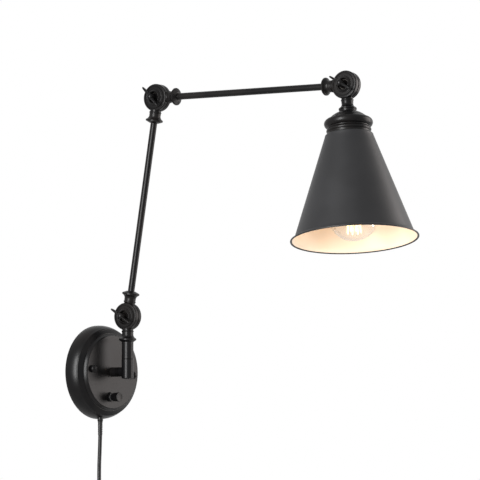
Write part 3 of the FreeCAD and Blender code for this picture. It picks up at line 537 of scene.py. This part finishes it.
class GeometryTree:
    """A Geometry Nodes tree with named inputs, which is baked to a plain mesh."""

    def __init__(self, name: str) -> None:
        """Start an empty tree with a geometry input and output."""
        self.tree = bpy.data.node_groups.new(name, "GeometryNodeTree")
        self.graph = Graph(self.tree)
        self.tree.interface.new_socket("Geometry", in_out="INPUT", socket_type="NodeSocketGeometry")
        self.tree.interface.new_socket("Geometry", in_out="OUTPUT", socket_type="NodeSocketGeometry")
        self.source = self.tree.nodes.new("NodeGroupInput")
        self.sink = self.tree.nodes.new("NodeGroupOutput")

    def size(self, name: str, kind: str = "NodeSocketFloat") -> Signal:
        """Add a named input and return it."""
        self.tree.interface.new_socket(name, in_out="INPUT", socket_type=kind)
        return Signal(self.graph, self.source.outputs[name])

    def given(self) -> Signal:
        """The geometry that comes in."""
        return Signal(self.graph, self.source.outputs["Geometry"])

    def step(self, kind: str, output: Union[int, str] = "Geometry", **inputs: Operand) -> Signal:
        """Add a geometry node, with underlines for the spaces in its sockets' names."""
        return self.graph.out("GeometryNode" + kind, output, **inputs)

    def vector(self, **parts: Operand) -> Signal:
        """Make a vector from its X, Y and Z, each of which is 0 if it isn't given."""
        return self.graph.out("ShaderNodeCombineXYZ", "Vector", **parts)

    def deliver(self, geometry: Signal) -> None:
        """Send a geometry out."""
        self.graph.feed(self.sink.inputs["Geometry"], geometry)

    def bake(self, base: Mesh, sizes: Dict[str, object], frame_of: Matrix) -> Mesh:
        """Run the tree on a mesh.

        Args:
            base: The mesh that goes in, in millimetres.
            sizes: A value for each named input.
            frame_of: Where the result goes.

        Returns:
            A plain mesh in metres.
        """
        holder = link(base, "tree_base")
        modifier = holder.modifiers.new("tree", "NODES")
        modifier.node_group = self.tree
        sockets = self.tree.interface.items_tree
        named = {item.name: item.identifier for item in sockets if item.in_out == "INPUT"}
        for name, value in sizes.items():
            modifier[named[name]] = value
        bpy.context.view_layer.update()
        done = holder.evaluated_get(bpy.context.evaluated_depsgraph_get())
        mesh = bpy.data.meshes.new_from_object(done)
        bpy.data.objects.remove(holder)
        bpy.data.meshes.remove(base)
        mesh.transform(frame_of @ Matrix.Scale(MM, 4))
        tidied(mesh)
        shade_smooth(mesh)
        return mesh


class TurningTree(GeometryTree):
    """Turns an outline about Z, as a lathe or a spinning chuck would."""

    def __init__(self) -> None:
        """Lay the outline's points out as a sheet and roll the sheet up."""
        super().__init__("turning")
        graph = self.graph
        segments = self.size("Segments", "NodeSocketInt")
        outer = self.size("Material", "NodeSocketMaterial")
        inner = self.size("Inside Material", "NodeSocketMaterial")
        first = self.size("Inside From", "NodeSocketInt")
        last = self.size("Inside To", "NodeSocketInt")
        points = self.given()
        rows = graph.out("GeometryNodeAttributeDomainSize", "Point Count", {"component": "MESH"},
                         Geometry=points)
        grid = self.step("MeshGrid", "Mesh", Vertices_X=segments + 1, Vertices_Y=rows)
        index = self.step("InputIndex", 0)
        column = graph.math("FLOOR", index / rows)
        row = index - column * rows
        sample = graph.out("GeometryNodeSampleIndex", "Value", {"data_type": "FLOAT_VECTOR"},
                           Geometry=points, Value=self.step("InputPosition", 0), Index=row)
        radius, _, height = graph.parts(sample)
        angle = column * math.tau / segments
        across, deep = radius * graph.math("COSINE", angle), radius * graph.math("SINE", angle)
        place = self.vector(X=across, Y=deep, Z=height)
        rolled = self.step("SetPosition", Geometry=grid, Position=place)
        painted = self.step("SetMaterial", Geometry=rolled, Material=outer)
        band = graph.math("FLOORED_MODULO", index, rows - 1)
        inside = graph.math("GREATER_THAN", band, first - 0.5) * graph.math("LESS_THAN", band, last + 0.5)
        lined = self.step("SetMaterial", Geometry=painted, Selection=inside, Material=inner)
        real = self.step("RealizeInstances", Geometry=lined)
        self.deliver(self.step("MergeByDistance", Geometry=real, Distance=1e-4))


class PatternTree(GeometryTree):
    """Repeats one small form, each copy a step further on and turned further about Z."""

    def __init__(self) -> None:
        """Put a copy on each point of a line, turned by its place in the line."""
        super().__init__("pattern")
        count = self.size("Count", "NodeSocketInt")
        step = self.size("Step", "NodeSocketVector")
        turn = self.size("Turn")
        material = self.size("Material", "NodeSocketMaterial")
        line = self.step("MeshLine", "Mesh", Count=count, Offset=step)
        spin = self.vector(Z=self.step("InputIndex", 0) * turn)
        copies = self.step("InstanceOnPoints", "Instances", Points=line, Instance=self.given(), Rotation=spin)
        real = self.step("RealizeInstances", Geometry=copies)
        self.deliver(self.step("SetMaterial", Geometry=real, Material=material))


class Workshop:
    """Makes plain meshes from outlines, sections and patterns."""

    def __init__(self) -> None:
        """Set up the trees that all pieces share."""
        self.turning = TurningTree()
        self.pattern = PatternTree()

    def turn(self, outline: Outline, frame_of: Matrix, finish: Finish, segments: int,
             lining: Optional[Finish] = None, lined: Tuple[int, int] = (-2, -2)) -> Mesh:
        """Turn an outline into a mesh.

        Args:
            outline: The half section, closed where it starts or on the axis.
            frame_of: Where the turned piece goes.
            finish: What it is made of or painted with.
            segments: How many facets go round.
            lining: A second finish for a stretch of the outline.
            lined: The first and the last segment of that stretch.

        Returns:
            The mesh.
        """
        base = bpy.data.meshes.new("outline")
        base.from_pydata([(r, 0.0, z) for r, z in outline.points], [], [])
        paint, inside = finish.material(), (lining or finish).material()
        return self.turning.bake(base, {"Segments": segments, "Material": paint, "Inside Material": inside,
                                        "Inside From": lined[0], "Inside To": lined[1]}, frame_of)

    def repeat(self, mesh: Mesh, count: int, frame_of: Matrix, finish: Finish,
               step: Optional[Sequence[float]] = None) -> Mesh:
        """Repeat a small mesh.

        Args:
            mesh: What is repeated, in millimetres.
            count: How many copies there are.
            frame_of: Where the pattern goes.
            finish: What the copies are made of or painted with.
            step: From one copy to the next. Without it they go round the frame's Z axis.

        Returns:
            The mesh of all the copies.
        """
        turn = 0.0 if step else math.tau / count
        return self.pattern.bake(mesh, {"Count": count, "Step": step or (0.0, 0.0, 0.0), "Turn": turn,
                                        "Material": finish.material()}, frame_of)

    @staticmethod
    def loft(rings: Sequence[Sequence[Sequence[float]]], name: str) -> Mesh:
        """Skin a row of rings with as many points each, and close the two ends.

        Args:
            rings: The rings' points.
            name: The mesh's name.

        Returns:
            The mesh.
        """
        count = len(rings[0])
        points = [tuple(p) for ring in rings for p in ring]
        faces = []
        for here in range(0, len(points) - count, count):
            for j in range(count):
                k = (j + 1) % count
                faces.append((here + j, here + k, here + count + k, here + count + j))
        faces += [tuple(range(count)), tuple(range(len(points) - count, len(points)))]
        mesh = bpy.data.meshes.new(name)
        mesh.from_pydata(points, [], faces)
        mesh.update()
        tidied(mesh)
        return mesh

    @staticmethod
    def join(meshes: Iterable[Mesh], name: str) -> Mesh:
        """Put several meshes in one, keeping their materials."""
        work = bmesh.new()
        materials: List[Material] = []
        for mesh in meshes:
            start = len(work.faces)
            work.from_mesh(mesh)
            work.faces.ensure_lookup_table()
            own = list(mesh.materials)
            materials += [material for material in own if material not in materials]
            for face in work.faces[start:]:
                material = own[min(face.material_index, len(own) - 1)]
                face.material_index = materials.index(material)
        joined = bpy.data.meshes.new(name)
        work.to_mesh(joined)
        work.free()
        for material in materials:
            joined.materials.append(material)
        return joined


# Pieces.


def superellipse(half_x: float, half_y: float, power: float, count: int) -> List[Point]:
    """The points of a rounded rectangle, from an ellipse at power 2 to a square."""
    points = []
    for i in range(count):
        angle = math.tau * i / count
        x = math.copysign(abs(math.cos(angle)) ** (2 / power), math.cos(angle))
        y = math.copysign(abs(math.sin(angle)) ** (2 / power), math.sin(angle))
        points.append((half_x * x, half_y * y))
    return points


@dataclass
class Assembly:
    """What every sub-assembly has: the frames, the workshop, and the way to hand in a piece."""

    bones: Skeleton
    shop: Workshop

    def hand_in(self, data: ID, name: str, body: str, finish: Finish, *nodes: str) -> Object:
        """Show a mesh or a curve as a finished piece.

        Args:
            data: The mesh or the curve, in the lamp's frame.
            name: The piece's name.
            body: The body that it moves with.
            finish: The finish that it gets when it has no material yet.
            nodes: The plain nodes that it stands for.

        Returns:
            The piece.
        """
        piece = link(data, name)
        if not data.materials:
            data.materials.append(finish.material())
        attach(piece, body)
        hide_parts(*nodes)
        LOG.info("%s rides on %s", name, body)
        return piece

    @staticmethod
    def dress_nodes(finish: Finish, *names: str) -> None:
        """Give nodes that keep their own shape a finish."""
        for name in names:
            node = frame["nodes"][name]
            if not node.material_slots:
                node.data.materials.append(None)
            for holder in node.material_slots:
                holder.material = finish.material()
            LOG.info("%s: dressed in %s", name, finish.name)


@dataclass
class WallPlate(Assembly):
    """The canopy with its bracket, nuts and stub, and the switch with its knob."""

    knob_base: float = 28.4
    knob_radius: float = 5.95
    knob_length: float = 12.6
    knob_drop: float = 32.0
    ridges: int = 30

    def build(self) -> None:
        """Dress the plate and make the knob."""
        self.dress_nodes(Paints.SATIN, "canopy", "canopy_cap_nuts", "stub_tube", "switch_nut")
        self.dress_nodes(Paints.ZINC, "wall_bracket", "bracket_studs", "stub_lock_washer", "stub_lock_nut",
                         "switch_shaft")
        self.dress_nodes(Paints.SWITCH, "switch_body")
        self.dress_nodes(Paints.CONNECTOR, "wire_nut")
        self.dress_nodes(Paints.LEAD, "canopy_leads")
        self.build_knob()

    def build_knob(self) -> None:
        """The knob that flares to a dished end, with ridges for the fingers."""
        centre = self.bones.canopy @ Matrix.Translation(Vector((0, -self.knob_drop, 0)) * MM)
        base = self.knob_base
        end = base + self.knob_length
        wide = self.knob_radius
        waist = wide - 0.9
        outline = Outline(0.0, base).to(waist - 0.9, base)
        outline.by((waist - 0.4, base + 0.3), (waist - 0.2, base + 1.0), 4)
        outline.to(waist - 0.3, base + 1.7).to(waist - 0.15, base + 2.1)
        outline.by((waist + 0.1, base + 0.62 * self.knob_length), (wide - 0.25, end - 0.9), 6)
        outline.by((wide - 0.12, end - 0.25), (wide - 0.5, end), 4).to(wide - 0.8, end).dome(end - 0.5, 5)
        body = self.shop.turn(outline, centre, Paints.SATIN, 72)
        ridge = self.ridge(waist, base + 2.3, wide - 0.1, end - 1.1)
        ridges = self.shop.repeat(ridge, self.ridges, centre, Paints.SATIN)
        mesh = self.shop.join([body, ridges], "switch_knob")
        self.hand_in(mesh, "knob_with_ridges", "knob", Paints.SATIN, "switch_knob")

    @staticmethod
    def ridge(low_radius: float, low: float, high_radius: float, high: float) -> Mesh:
        """One round backed ridge along the knob, in millimetres."""
        rings = []
        for share in (0.0, 0.12, 0.5, 0.88, 1.0):
            radius = low_radius + (high_radius - low_radius) * share ** 1.6
            height = low + (high - low) * share
            proud = 0.32 * math.sin(math.pi * min(max(share, 0.06), 0.94)) ** 0.3
            rings.append([(radius - 0.5, -0.34, height), (radius + 0.3 * proud, -0.26, height),
                          (radius + proud, 0.0, height), (radius + 0.3 * proud, 0.26, height),
                          (radius - 0.5, 0.34, height)])
        return Workshop.loft(rings, "ridge")


@dataclass
class Knuckles(Assembly):
    """The barrel, the arms and the three half lap knuckles with their wing screws."""

    hub_radius: float = 3.9
    seat: float = 5.65
    screw_end: float = 20.0
    wing_span: float = 35.4
    wing_thick: float = 3.2
    wing_turns: Tuple[float, float, float] = (57.0, 43.0, 60.0)
    shank: float = 2.95

    def build(self) -> None:
        """Dress the arms and make the wing screws."""
        self.dress_nodes(Paints.SATIN, "lower_barrel", "barrel_plug", "upper_barrel", "lower_rod",
                         "upper_rod")
        self.dress_nodes(Paints.ZINC, "swivel_pin", "swivel_nut")
        self.dress_nodes(Paints.LEAD, "lower_leads", "upper_leads")
        for number, turn in enumerate(self.wing_turns, start=1):
            name = f"knuckle_{number}_"
            self.dress_nodes(Paints.SATIN, name + "front_eye", name + "back_eye", name + "cap_nut")
            self.dress_nodes(Paints.BLACKENED, name + "washer")
            self.dress_nodes(Paints.NYLON, name + "friction_disc")
            self.build_wing_screw(number, turn)

    def build_wing_screw(self, number: int, turn: float) -> None:
        """A cast screw: a shank, a stepped hub with a round end, and two slim wings."""
        where = self.bones.wing(number, turn)
        hub = self.hub_radius
        end = self.screw_end
        outline = Outline(0.0, -9.6).to(self.shank - 0.5, -9.6).to(self.shank, -9.1).to(self.shank, self.seat)
        outline.to(hub + 1.2, self.seat).by((hub + 1.45, self.seat + 0.2), (hub + 1.4, self.seat + 1.1), 3)
        outline.by((hub + 0.5, self.seat + 1.9), (hub, self.seat + 3.0), 4).to(hub, end - 2.0).dome(end, 8)
        meshes = [self.shop.turn(outline, where, Paints.SATIN, 40)]
        meshes += [self.wing(where @ spun(side)) for side in (0, 180)]
        mesh = self.shop.join(meshes, f"wing_screw_{number}")
        node = f"knuckle_{number}_wing_screw"
        self.hand_in(mesh, f"wing_screw_{number}", f"wing_{number}", Paints.SATIN, node)

    def wing(self, where: Matrix) -> Mesh:
        """One slim wing that leans outwards and thins towards a round tip."""
        tip = self.wing_span / 2
        end = self.screw_end
        rings = []
        for step in range(15):
            share = step / 14
            out = 1.2 + (tip - 1.25) * share
            top = end - 1.4 - 1.2 * share ** 2
            low = end - 9.4 + 4.2 * share ** 3
            shrink = math.sqrt(max(0.0, 1 - max(0.0, (share - 0.8) / 0.2) ** 2.2)) * 0.96 + 0.04
            middle = (top + low) / 2
            half = (top - low) / 2 * shrink
            thick = self.wing_thick / 2 * (1 - 0.3 * share ** 2) * (0.35 + 0.65 * shrink)
            rings.append([(out, y, middle + z) for z, y in superellipse(half, thick, 2.3, 14)])
        mesh = Workshop.loft(rings, "wing")
        mesh.transform(where @ Matrix.Scale(MM, 4))
        mesh.materials.append(Paints.SATIN.material())
        shade_smooth(mesh, 60.0)
        return mesh


@dataclass
class LampHead(Assembly):
    """The holder under its cap, the shade, and the bulb."""

    cap_end: float = 62.0
    shade_top: float = 29.5
    cone_radius: float = 72.0
    mouth_radius: float = 77.5
    mouth: float = 192.4
    lip: float = 5.4
    wall: float = 1.0
    roll: float = 1.1
    hole: float = 19.8
    cone_steps: int = 24
    glow_depth: float = 150.0
    holder_end: float = 90.0
    bulb_neck: float = 13.0
    bulb_radius: float = 30.0
    bulb_tip: float = 193.5
    glass_wall: float = 0.8
    wires: int = 8
    glow_watts: float = 0.010

    def build(self) -> None:
        """Dress the holder, and make the shade and the bulb."""
        self.dress_nodes(Paints.SATIN, "socket_cap")
        self.dress_nodes(Paints.ZINC, "socket_nipple", "socket_nut")
        self.dress_nodes(Paints.PORCELAIN, "socket_body")
        self.dress_nodes(Paints.ALUMINIUM, "socket_shell", "bulb_base")
        self.dress_nodes(Paints.NICKEL, "socket_contact")
        self.dress_nodes(Paints.SHADE, "shade_ring")
        self.build_shade()
        self.build_glass()
        self.build_filament()
        self.build_glow()

    def build_shade(self) -> None:
        """The spun cone: rounded top, flared lip with a rolled edge, enamel inside."""
        top, wall = self.cap_end, self.wall
        foot = self.mouth - self.lip
        edge = self.mouth_radius - self.roll
        rim = self.mouth - self.roll
        outline = Outline(self.hole, top).to(self.shade_top - 2.4, top)
        outline.by((self.shade_top - 0.6, top + 0.6), (self.shade_top, top + 2.2), 6)
        outline.along((self.cone_radius, foot), self.cone_steps)
        outline.by((self.cone_radius + 1.6, foot + 2.3), (edge - 0.3, rim - wall - 0.1), 6)
        outline.by((edge + 0.96 * self.roll, rim), (edge, self.mouth), 10)
        outline.by((edge - 0.9 * self.roll, rim + 0.35), (edge - 1.25 * self.roll, rim - 0.1), 4)
        outside = len(outline.points) - 1
        outline.by((self.cone_radius + 1.0, foot + 3.1), (self.cone_radius - wall, foot + 0.3), 6)
        outline.along((self.shade_top - wall, top + 2.5), self.cone_steps)
        outline.by((self.shade_top - 1.3, top + 1.3), (self.shade_top - 2.6, top + wall), 5)
        outline.to(self.hole, top + wall).to(self.hole, top)
        inside = (outside, len(outline.points) - 3)
        mesh = self.shop.turn(outline, self.bones.head, Paints.SHADE, 192, Paints.ENAMEL, inside)
        self.hand_in(mesh, "spun_shade", "head", Paints.SHADE, "shade")

    def glass_outline(self, inset: float) -> Outline:
        """The bulb's outside, or with an inset its inside."""
        neck = self.bulb_neck - inset
        belly = self.bulb_radius - inset
        start = self.holder_end - 3.0
        length = self.bulb_tip - start
        outline = Outline(neck, start).to(neck, start + 0.05 * length)
        outline.by((0.5 * (neck + belly) - 1.4, start + 0.33 * length),
                   (0.953 * belly, start + 0.64 * length), 16)
        outline.by((belly, start + 0.765 * length), (0.84 * belly, start + 0.885 * length), 14)
        return outline.dome(self.bulb_tip - inset, 14)

    def build_glass(self) -> None:
        """The bulb's envelope with its own thickness, and the stem inside it."""
        outside = self.glass_outline(0.0)
        inside = self.glass_outline(self.glass_wall)
        outside.points += inside.points[::-1]
        outside.points.append(outside.points[0])
        mesh = self.shop.turn(outside, self.bones.head, Paints.GLASS, 96)
        self.hand_in(mesh, "bulb_envelope", "head", Paints.GLASS, "bulb_glass")
        start = self.holder_end - 3.0
        wide = self.bulb_neck - self.glass_wall - 1.0
        stem = Outline(0.0, start).to(wide, start).by((6.0, start + 6.0), (3.4, start + 16.0), 8)
        stem.to(2.4, start + 34.0).to(1.6, start + 52.0).by((2.6, start + 54.0), (1.8, start + 55.6), 6)
        stem.dome(start + 56.0, 4)
        mesh = self.shop.turn(stem, self.bones.head, Paints.STEM_GLASS, 40)
        self.hand_in(mesh, "bulb_stem_glass", "head", Paints.STEM_GLASS, "bulb_stem")

    def build_filament(self) -> None:
        """A cage of upright wires that zigzag round the stem between two rings of hooks."""
        low, high = self.holder_end + 22.0, self.bulb_tip - 10.0
        half = math.pi / self.wires
        ends = [(5.0, low, -half), (5.2, low + 1.5, -0.8 * half), (8.6, high, -0.2 * half),
                (8.7, high + 0.8, 0.0), (8.6, high, 0.2 * half), (5.2, low + 1.5, 0.8 * half),
                (5.0, low, half)]
        path = [Vector((r * math.cos(a), r * math.sin(a), z)) for r, z, a in ends]
        wire = self.wire(path, 0.36)
        mesh = self.shop.repeat(wire, self.wires, self.bones.head, Paints.FILAMENT)
        self.hand_in(mesh, "bulb_filament_cage", "head", Paints.FILAMENT, "bulb_filament")

    @staticmethod
    def wire(path: Sequence[Vector], radius: float) -> Mesh:
        """A thin six sided wire along a path, in millimetres."""
        rings = []
        for i, point in enumerate(path):
            along = (path[min(i + 1, len(path) - 1)] - path[max(i - 1, 0)]).normalized()
            side = along.cross(Vector((0, 0, 1))).normalized()
            up = side.cross(along)
            rings.append([point + side * (radius * math.cos(a)) + up * (radius * math.sin(a))
                          for a in (math.tau * k / 6 for k in range(6))])
        return Workshop.loft(rings, "wire")

    def build_glow(self) -> None:
        """The light that the filament gives, which moves with the head."""
        data = bpy.data.lights.new("bulb_glow", "POINT")
        data.energy = self.glow_watts
        data.color = (1.0, 0.79, 0.52)
        data.shadow_soft_size = 0.009
        glow = link(data, "bulb_glow")
        glow.location = self.bones.head @ Vector((0, 0, self.glow_depth * MM))
        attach(glow, "head")


@dataclass
class PowerCord(Assembly):
    """The cord with its strain relief, coil, strap and plug."""

    radius: float = 2.5
    exit: Tuple[float, float, float] = (-5.7, -9.5, -80.5)
    route: Tuple[Tuple[float, float, float], ...] = (
        (-5.7, -9.5, -80.5),
        (-5.9, -9.2, -97.0),
        (-6.8, -8.8, -121.0),
        (-7.0, -9.4, -152.0),
    )
    coil_centre: Tuple[float, float] = (27.0, -186.0)
    slots: Tuple[Point, ...] = (
        (34.0, -9.5), (34.0, -4.5), (29.0, -4.5), (24.0, -4.5), (29.0, -9.5),
        (24.0, -9.5), (24.0, -14.5), (29.0, -14.5), (34.0, -14.5),
    )
    middle_slot: int = 4
    per_turn: int = 24
    plug_top: float = -214.0
    plug_size: Tuple[float, float, float] = (25.0, 20.0, 30.0)
    plug_stations: Tuple[Tuple[float, ...], ...] = (
        (0.0, 0.14, 0.18, 2.0), (0.02, 0.155, 0.2, 2.0), (0.12, 0.19, 0.24, 2.0), (0.26, 0.30, 0.34, 2.3),
        (0.42, 0.43, 0.42, 2.8), (0.56, 0.46, 0.40, 3.4), (0.74, 0.465, 0.39, 3.8), (0.86, 0.495, 0.47, 4.2),
        (0.95, 0.5, 0.495, 4.6), (0.985, 0.49, 0.485, 4.6), (1.0, 0.47, 0.46, 4.6),
    )
    plug_ribs: int = 5
    rib_pitch: float = 2.0
    length: float = 1.8
    relief_top: float = -54.5
    relief_length: float = 26.0
    tie_width: float = 9.0
    strap_half: float = 8.05
    strap_points: int = 60
    strap_lap: int = 9
    lap_lift: float = 0.075

    def build(self) -> None:
        """Make the cord first, then what is on it."""
        cord = self.build_cord()
        relief = self.build_relief()
        strap = self.build_strap()
        plug = self.build_plug()
        self.dress_nodes(Paints.NICKEL, "plug_blades")

    def coil_points(self) -> List[Vector]:
        """The turns of the coil, each in its own place in the bundle."""
        grow = 1 / (0.75 + 0.25 * math.cos(math.tau / self.per_turn))
        places = [self.slots[0], *self.slots, self.slots[-1]]
        points = []
        for step in range(self.per_turn * len(self.slots) + 1):
            turns = step / self.per_turn
            nearest = round(turns)
            shift = min(max((turns - nearest) * 6 + 0.5, 0.0), 1.0)
            shift = shift * shift * (3 - 2 * shift)
            before, after = places[nearest], places[nearest + 1]
            radius = (before[0] + (after[0] - before[0]) * shift) * grow
            depth = before[1] + (after[1] - before[1]) * shift
            angle = math.pi + math.tau * turns
            x, z = self.coil_centre
            points.append(Vector((x + radius * math.cos(angle), depth, z + radius * math.sin(angle))))
        return points

    def build_cord(self) -> Object:
        """One smooth line from the strain relief through the coil to the plug."""
        last_x, last_depth = self.route[-1][0], self.slots[-1][1]
        tail = [Vector((last_x, last_depth, z)) for z in (-196.0, -206.0, self.plug_top - 3.0)]
        points = [Vector(p) for p in self.route] + self.coil_points() + tail
        curve = bpy.data.curves.new("power_cord_line", "CURVE")
        curve.dimensions = "3D"
        curve.resolution_u = 5
        curve.bevel_depth = self.radius * MM
        curve.bevel_resolution = 3
        curve.use_fill_caps = True
        spline = curve.splines.new("NURBS")
        spline.points.add(len(points) - 1)
        for knot, point in zip(spline.points, points):
            knot.co = (*(point * MM), 1.0)
        spline.order_u = 3
        spline.use_endpoint_u = True
        return self.hand_in(curve, "cord_line", "wall_mount", Paints.SHEATH, "power_cord", "cord_coil")

    def build_relief(self) -> Object:
        """A sleeve that tapers to the cord, with slots between its ribs."""
        x, y, _ = self.route[0]
        where = Matrix.Translation(Vector((x, y, 0)) * MM)
        top, length = self.relief_top, self.relief_length
        grip = top - 0.28 * length
        outline = Outline(0.0, top).to(3.4, top).to(3.6, top - 0.3).to(3.6, grip)
        outline.to(3.0, grip - 0.05 * length)
        ribs = 6
        low = top - length
        for step in range(ribs):
            share = step / ribs
            radius = 3.05 - 0.2 * share
            height = grip - 1.6 - (grip - 1.6 - low) * share
            outline.to(radius, height).to(radius, height - 1.6).to(radius - 0.35, height - 1.8)
            outline.to(radius - 0.35, height - 2.4)
        outline.to(2.75, low + 0.2).to(2.6, low).to(0.0, low)
        mesh = self.shop.turn(outline, where, Paints.SHEATH, 40)
        return self.hand_in(mesh, "cord_strain_relief", "wall_mount", Paints.SHEATH, "strain_relief")

    def build_strap(self) -> Object:
        """A strap wound round the bundle, its end lapped over its start."""
        x, z = self.coil_centre
        radius, depth = self.slots[self.middle_slot]
        middle = Vector((x - radius, depth, z))
        loop = superellipse(self.strap_half, self.strap_half, 5.0, self.strap_points)
        loop += loop[:self.strap_lap]
        rise = self.strap_points - 6
        rings = []
        for i, (px, py) in enumerate(loop):
            lap = 1.0 + self.lap_lift * min(max((i - rise) / 8, 0.0), 1.0)
            rings.append([middle + Vector((px * lap * grow, py * lap * grow, self.tie_width / 2 * side))
                          for grow, side in ((0.965, -1), (1.03, -1), (1.03, 1), (0.965, 1))])
        mesh = Workshop.loft(rings, "strap")
        self.map_strap(mesh, middle)
        mesh.transform(Matrix.Scale(MM, 4))
        mesh.materials.append(Paints.STRAP.material())
        shade_smooth(mesh, 50.0)
        return self.hand_in(mesh, "coil_strap", "wall_mount", Paints.STRAP, "coil_tie")

    @staticmethod
    def map_strap(mesh: Mesh, middle: Vector) -> None:
        """Lay the strap's map out flat, in millimetres along and across it."""
        layer = mesh.uv_layers.new(name="flat")
        for loop in mesh.loops:
            spot = mesh.vertices[loop.vertex_index].co - middle
            layer.data[loop.index].uv = (math.atan2(spot.y, spot.x) * 8.5, spot.z)

    def build_plug(self) -> Object:
        """A moulded plug: a round neck that swells to a flat sided grip with ribs."""
        wide, deep, long = self.plug_size
        top = Vector((self.route[-1][0], self.slots[-1][1], self.plug_top))
        rings = []
        for share, across, through, power in self.plug_stations:
            ring = superellipse(across * wide, through * deep, power, 36)
            rings.append([(px, py, -long * share) for px, py in ring])
        body = Workshop.loft(rings, "plug")
        body.transform(Matrix.Translation(top * MM) @ Matrix.Scale(MM, 4))
        body.materials.append(Paints.SHEATH.material())
        shade_smooth(body, 40.0)
        meshes = [body]
        for side in (-1, 1):
            rib = self.rib(0.56 * wide, side)
            where = Matrix.Translation((top + Vector((0, side * (0.395 * deep), -0.5 * long))) * MM)
            pitch = (0.0, 0.0, -self.rib_pitch)
            meshes.append(self.shop.repeat(rib, self.plug_ribs, where, Paints.SHEATH, pitch))
        mesh = self.shop.join(meshes, "plug")
        return self.hand_in(mesh, "moulded_plug", "wall_mount", Paints.SHEATH, "plug_body")

    @staticmethod
    def rib(width: float, side: int) -> Mesh:
        """One round rib across the plug's grip, in millimetres."""
        rings = []
        for share in (-1.0, -0.97, -0.85, 0.0, 0.85, 0.97, 1.0):
            size = 0.65 * math.sqrt(max(0.02, 1 - abs(share) ** 6))
            rings.append([(share * width / 2, side * size * math.cos(a), size * math.sin(a))
                          for a in (math.tau * k / 10 for k in range(10))])
        return Workshop.loft(rings, "rib")


# Studio.

LAMP_MIDDLE = (0.0, -0.2, 0.1)  # what the soft boxes face, in metres


def aim(thing: Object, along: Vector) -> None:
    """Point a camera or a light along a direction, with its top up."""
    thing.rotation_mode = "QUATERNION"
    thing.rotation_quaternion = along.to_track_quat("-Z", "Y")


@dataclass
class Studio:
    """The camera, the lights, the white surround and the pale floor."""

    eye: Tuple[float, float, float] = (-2.592, -2.495, -0.088)
    yaw: float = 48.98
    pitch: float = 4.1
    lens: float = 210.75
    floor_height: float = -2.6
    floor_size: float = 60.0

    def build_camera(self) -> None:
        """A long lens that looks along the arm from the left."""
        data = bpy.data.cameras.new("studio_camera")
        data.lens = self.lens
        data.sensor_width = 36.0
        data.clip_end = 100.0
        camera = link(data, "studio_camera")
        yaw, pitch = math.radians(self.yaw), math.radians(self.pitch)
        ahead = Vector((math.sin(yaw) * math.cos(pitch), math.cos(yaw) * math.cos(pitch), math.sin(pitch)))
        camera.location = self.eye
        aim(camera, ahead)
        bpy.context.scene.camera = camera

    def build_light(self) -> None:
        """White all round, with a soft box on each side."""
        scene = bpy.context.scene
        scene.view_settings.view_transform = "Standard"
        world = bpy.data.worlds.new("white_surround")
        world.use_nodes = True
        backdrop = world.node_tree.nodes["Background"]
        backdrop.inputs["Color"].default_value = (1.0, 1.0, 1.0, 1.0)
        backdrop.inputs["Strength"].default_value = 1.0
        scene.world = world
        self.soft_box("left_box", (-1.75, -0.40, 0.35), (0.5, 1.6), 95.0)
        self.soft_box("right_box", (1.05, -1.05, 0.30), (0.8, 1.3), 22.0, (1.0, 0.93, 0.90))

    @staticmethod
    def soft_box(name: str, place: Sequence[float], size: Point, watts: float, tint: Colour = (1, 1, 1)
                 ) -> None:
        """One upright area light that faces the lamp and isn't seen itself."""
        data = bpy.data.lights.new(name, "AREA")
        data.shape = "RECTANGLE"
        data.size, data.size_y = size
        data.energy = watts
        data.color = tint
        light = link(data, name)
        light.location = place
        aim(light, Vector(LAMP_MIDDLE) - Vector(place))
        light.visible_camera = False

    def build_floor(self) -> None:
        """A wide pale floor, well below the lamp."""
        mesh = bpy.data.meshes.new("floor")
        size = self.floor_size / 2
        corners = [(-size, -size), (size, -size), (size, size), (-size, size)]
        mesh.from_pydata([(x, y, self.floor_height) for x, y in corners], [], [(0, 1, 2, 3)])
        mesh.materials.append(Paints.PAPER.material())
        floor = link(mesh, "floor")


def main() -> None:
    """Build the studio and each sub-assembly in order."""
    logging.basicConfig(level=logging.INFO, format="%(name)s: %(message)s")
    studio = Studio()
    studio.build_camera()
    bones = Skeleton()
    shop = Workshop()
    makers: Sequence[Callable[..., Assembly]] = (PowerCord, WallPlate, Knuckles, LampHead)
    for maker in makers:
        maker(bones, shop).build()
    studio.build_light()
    studio.build_floor()


if __name__ == "__main__":
    main()
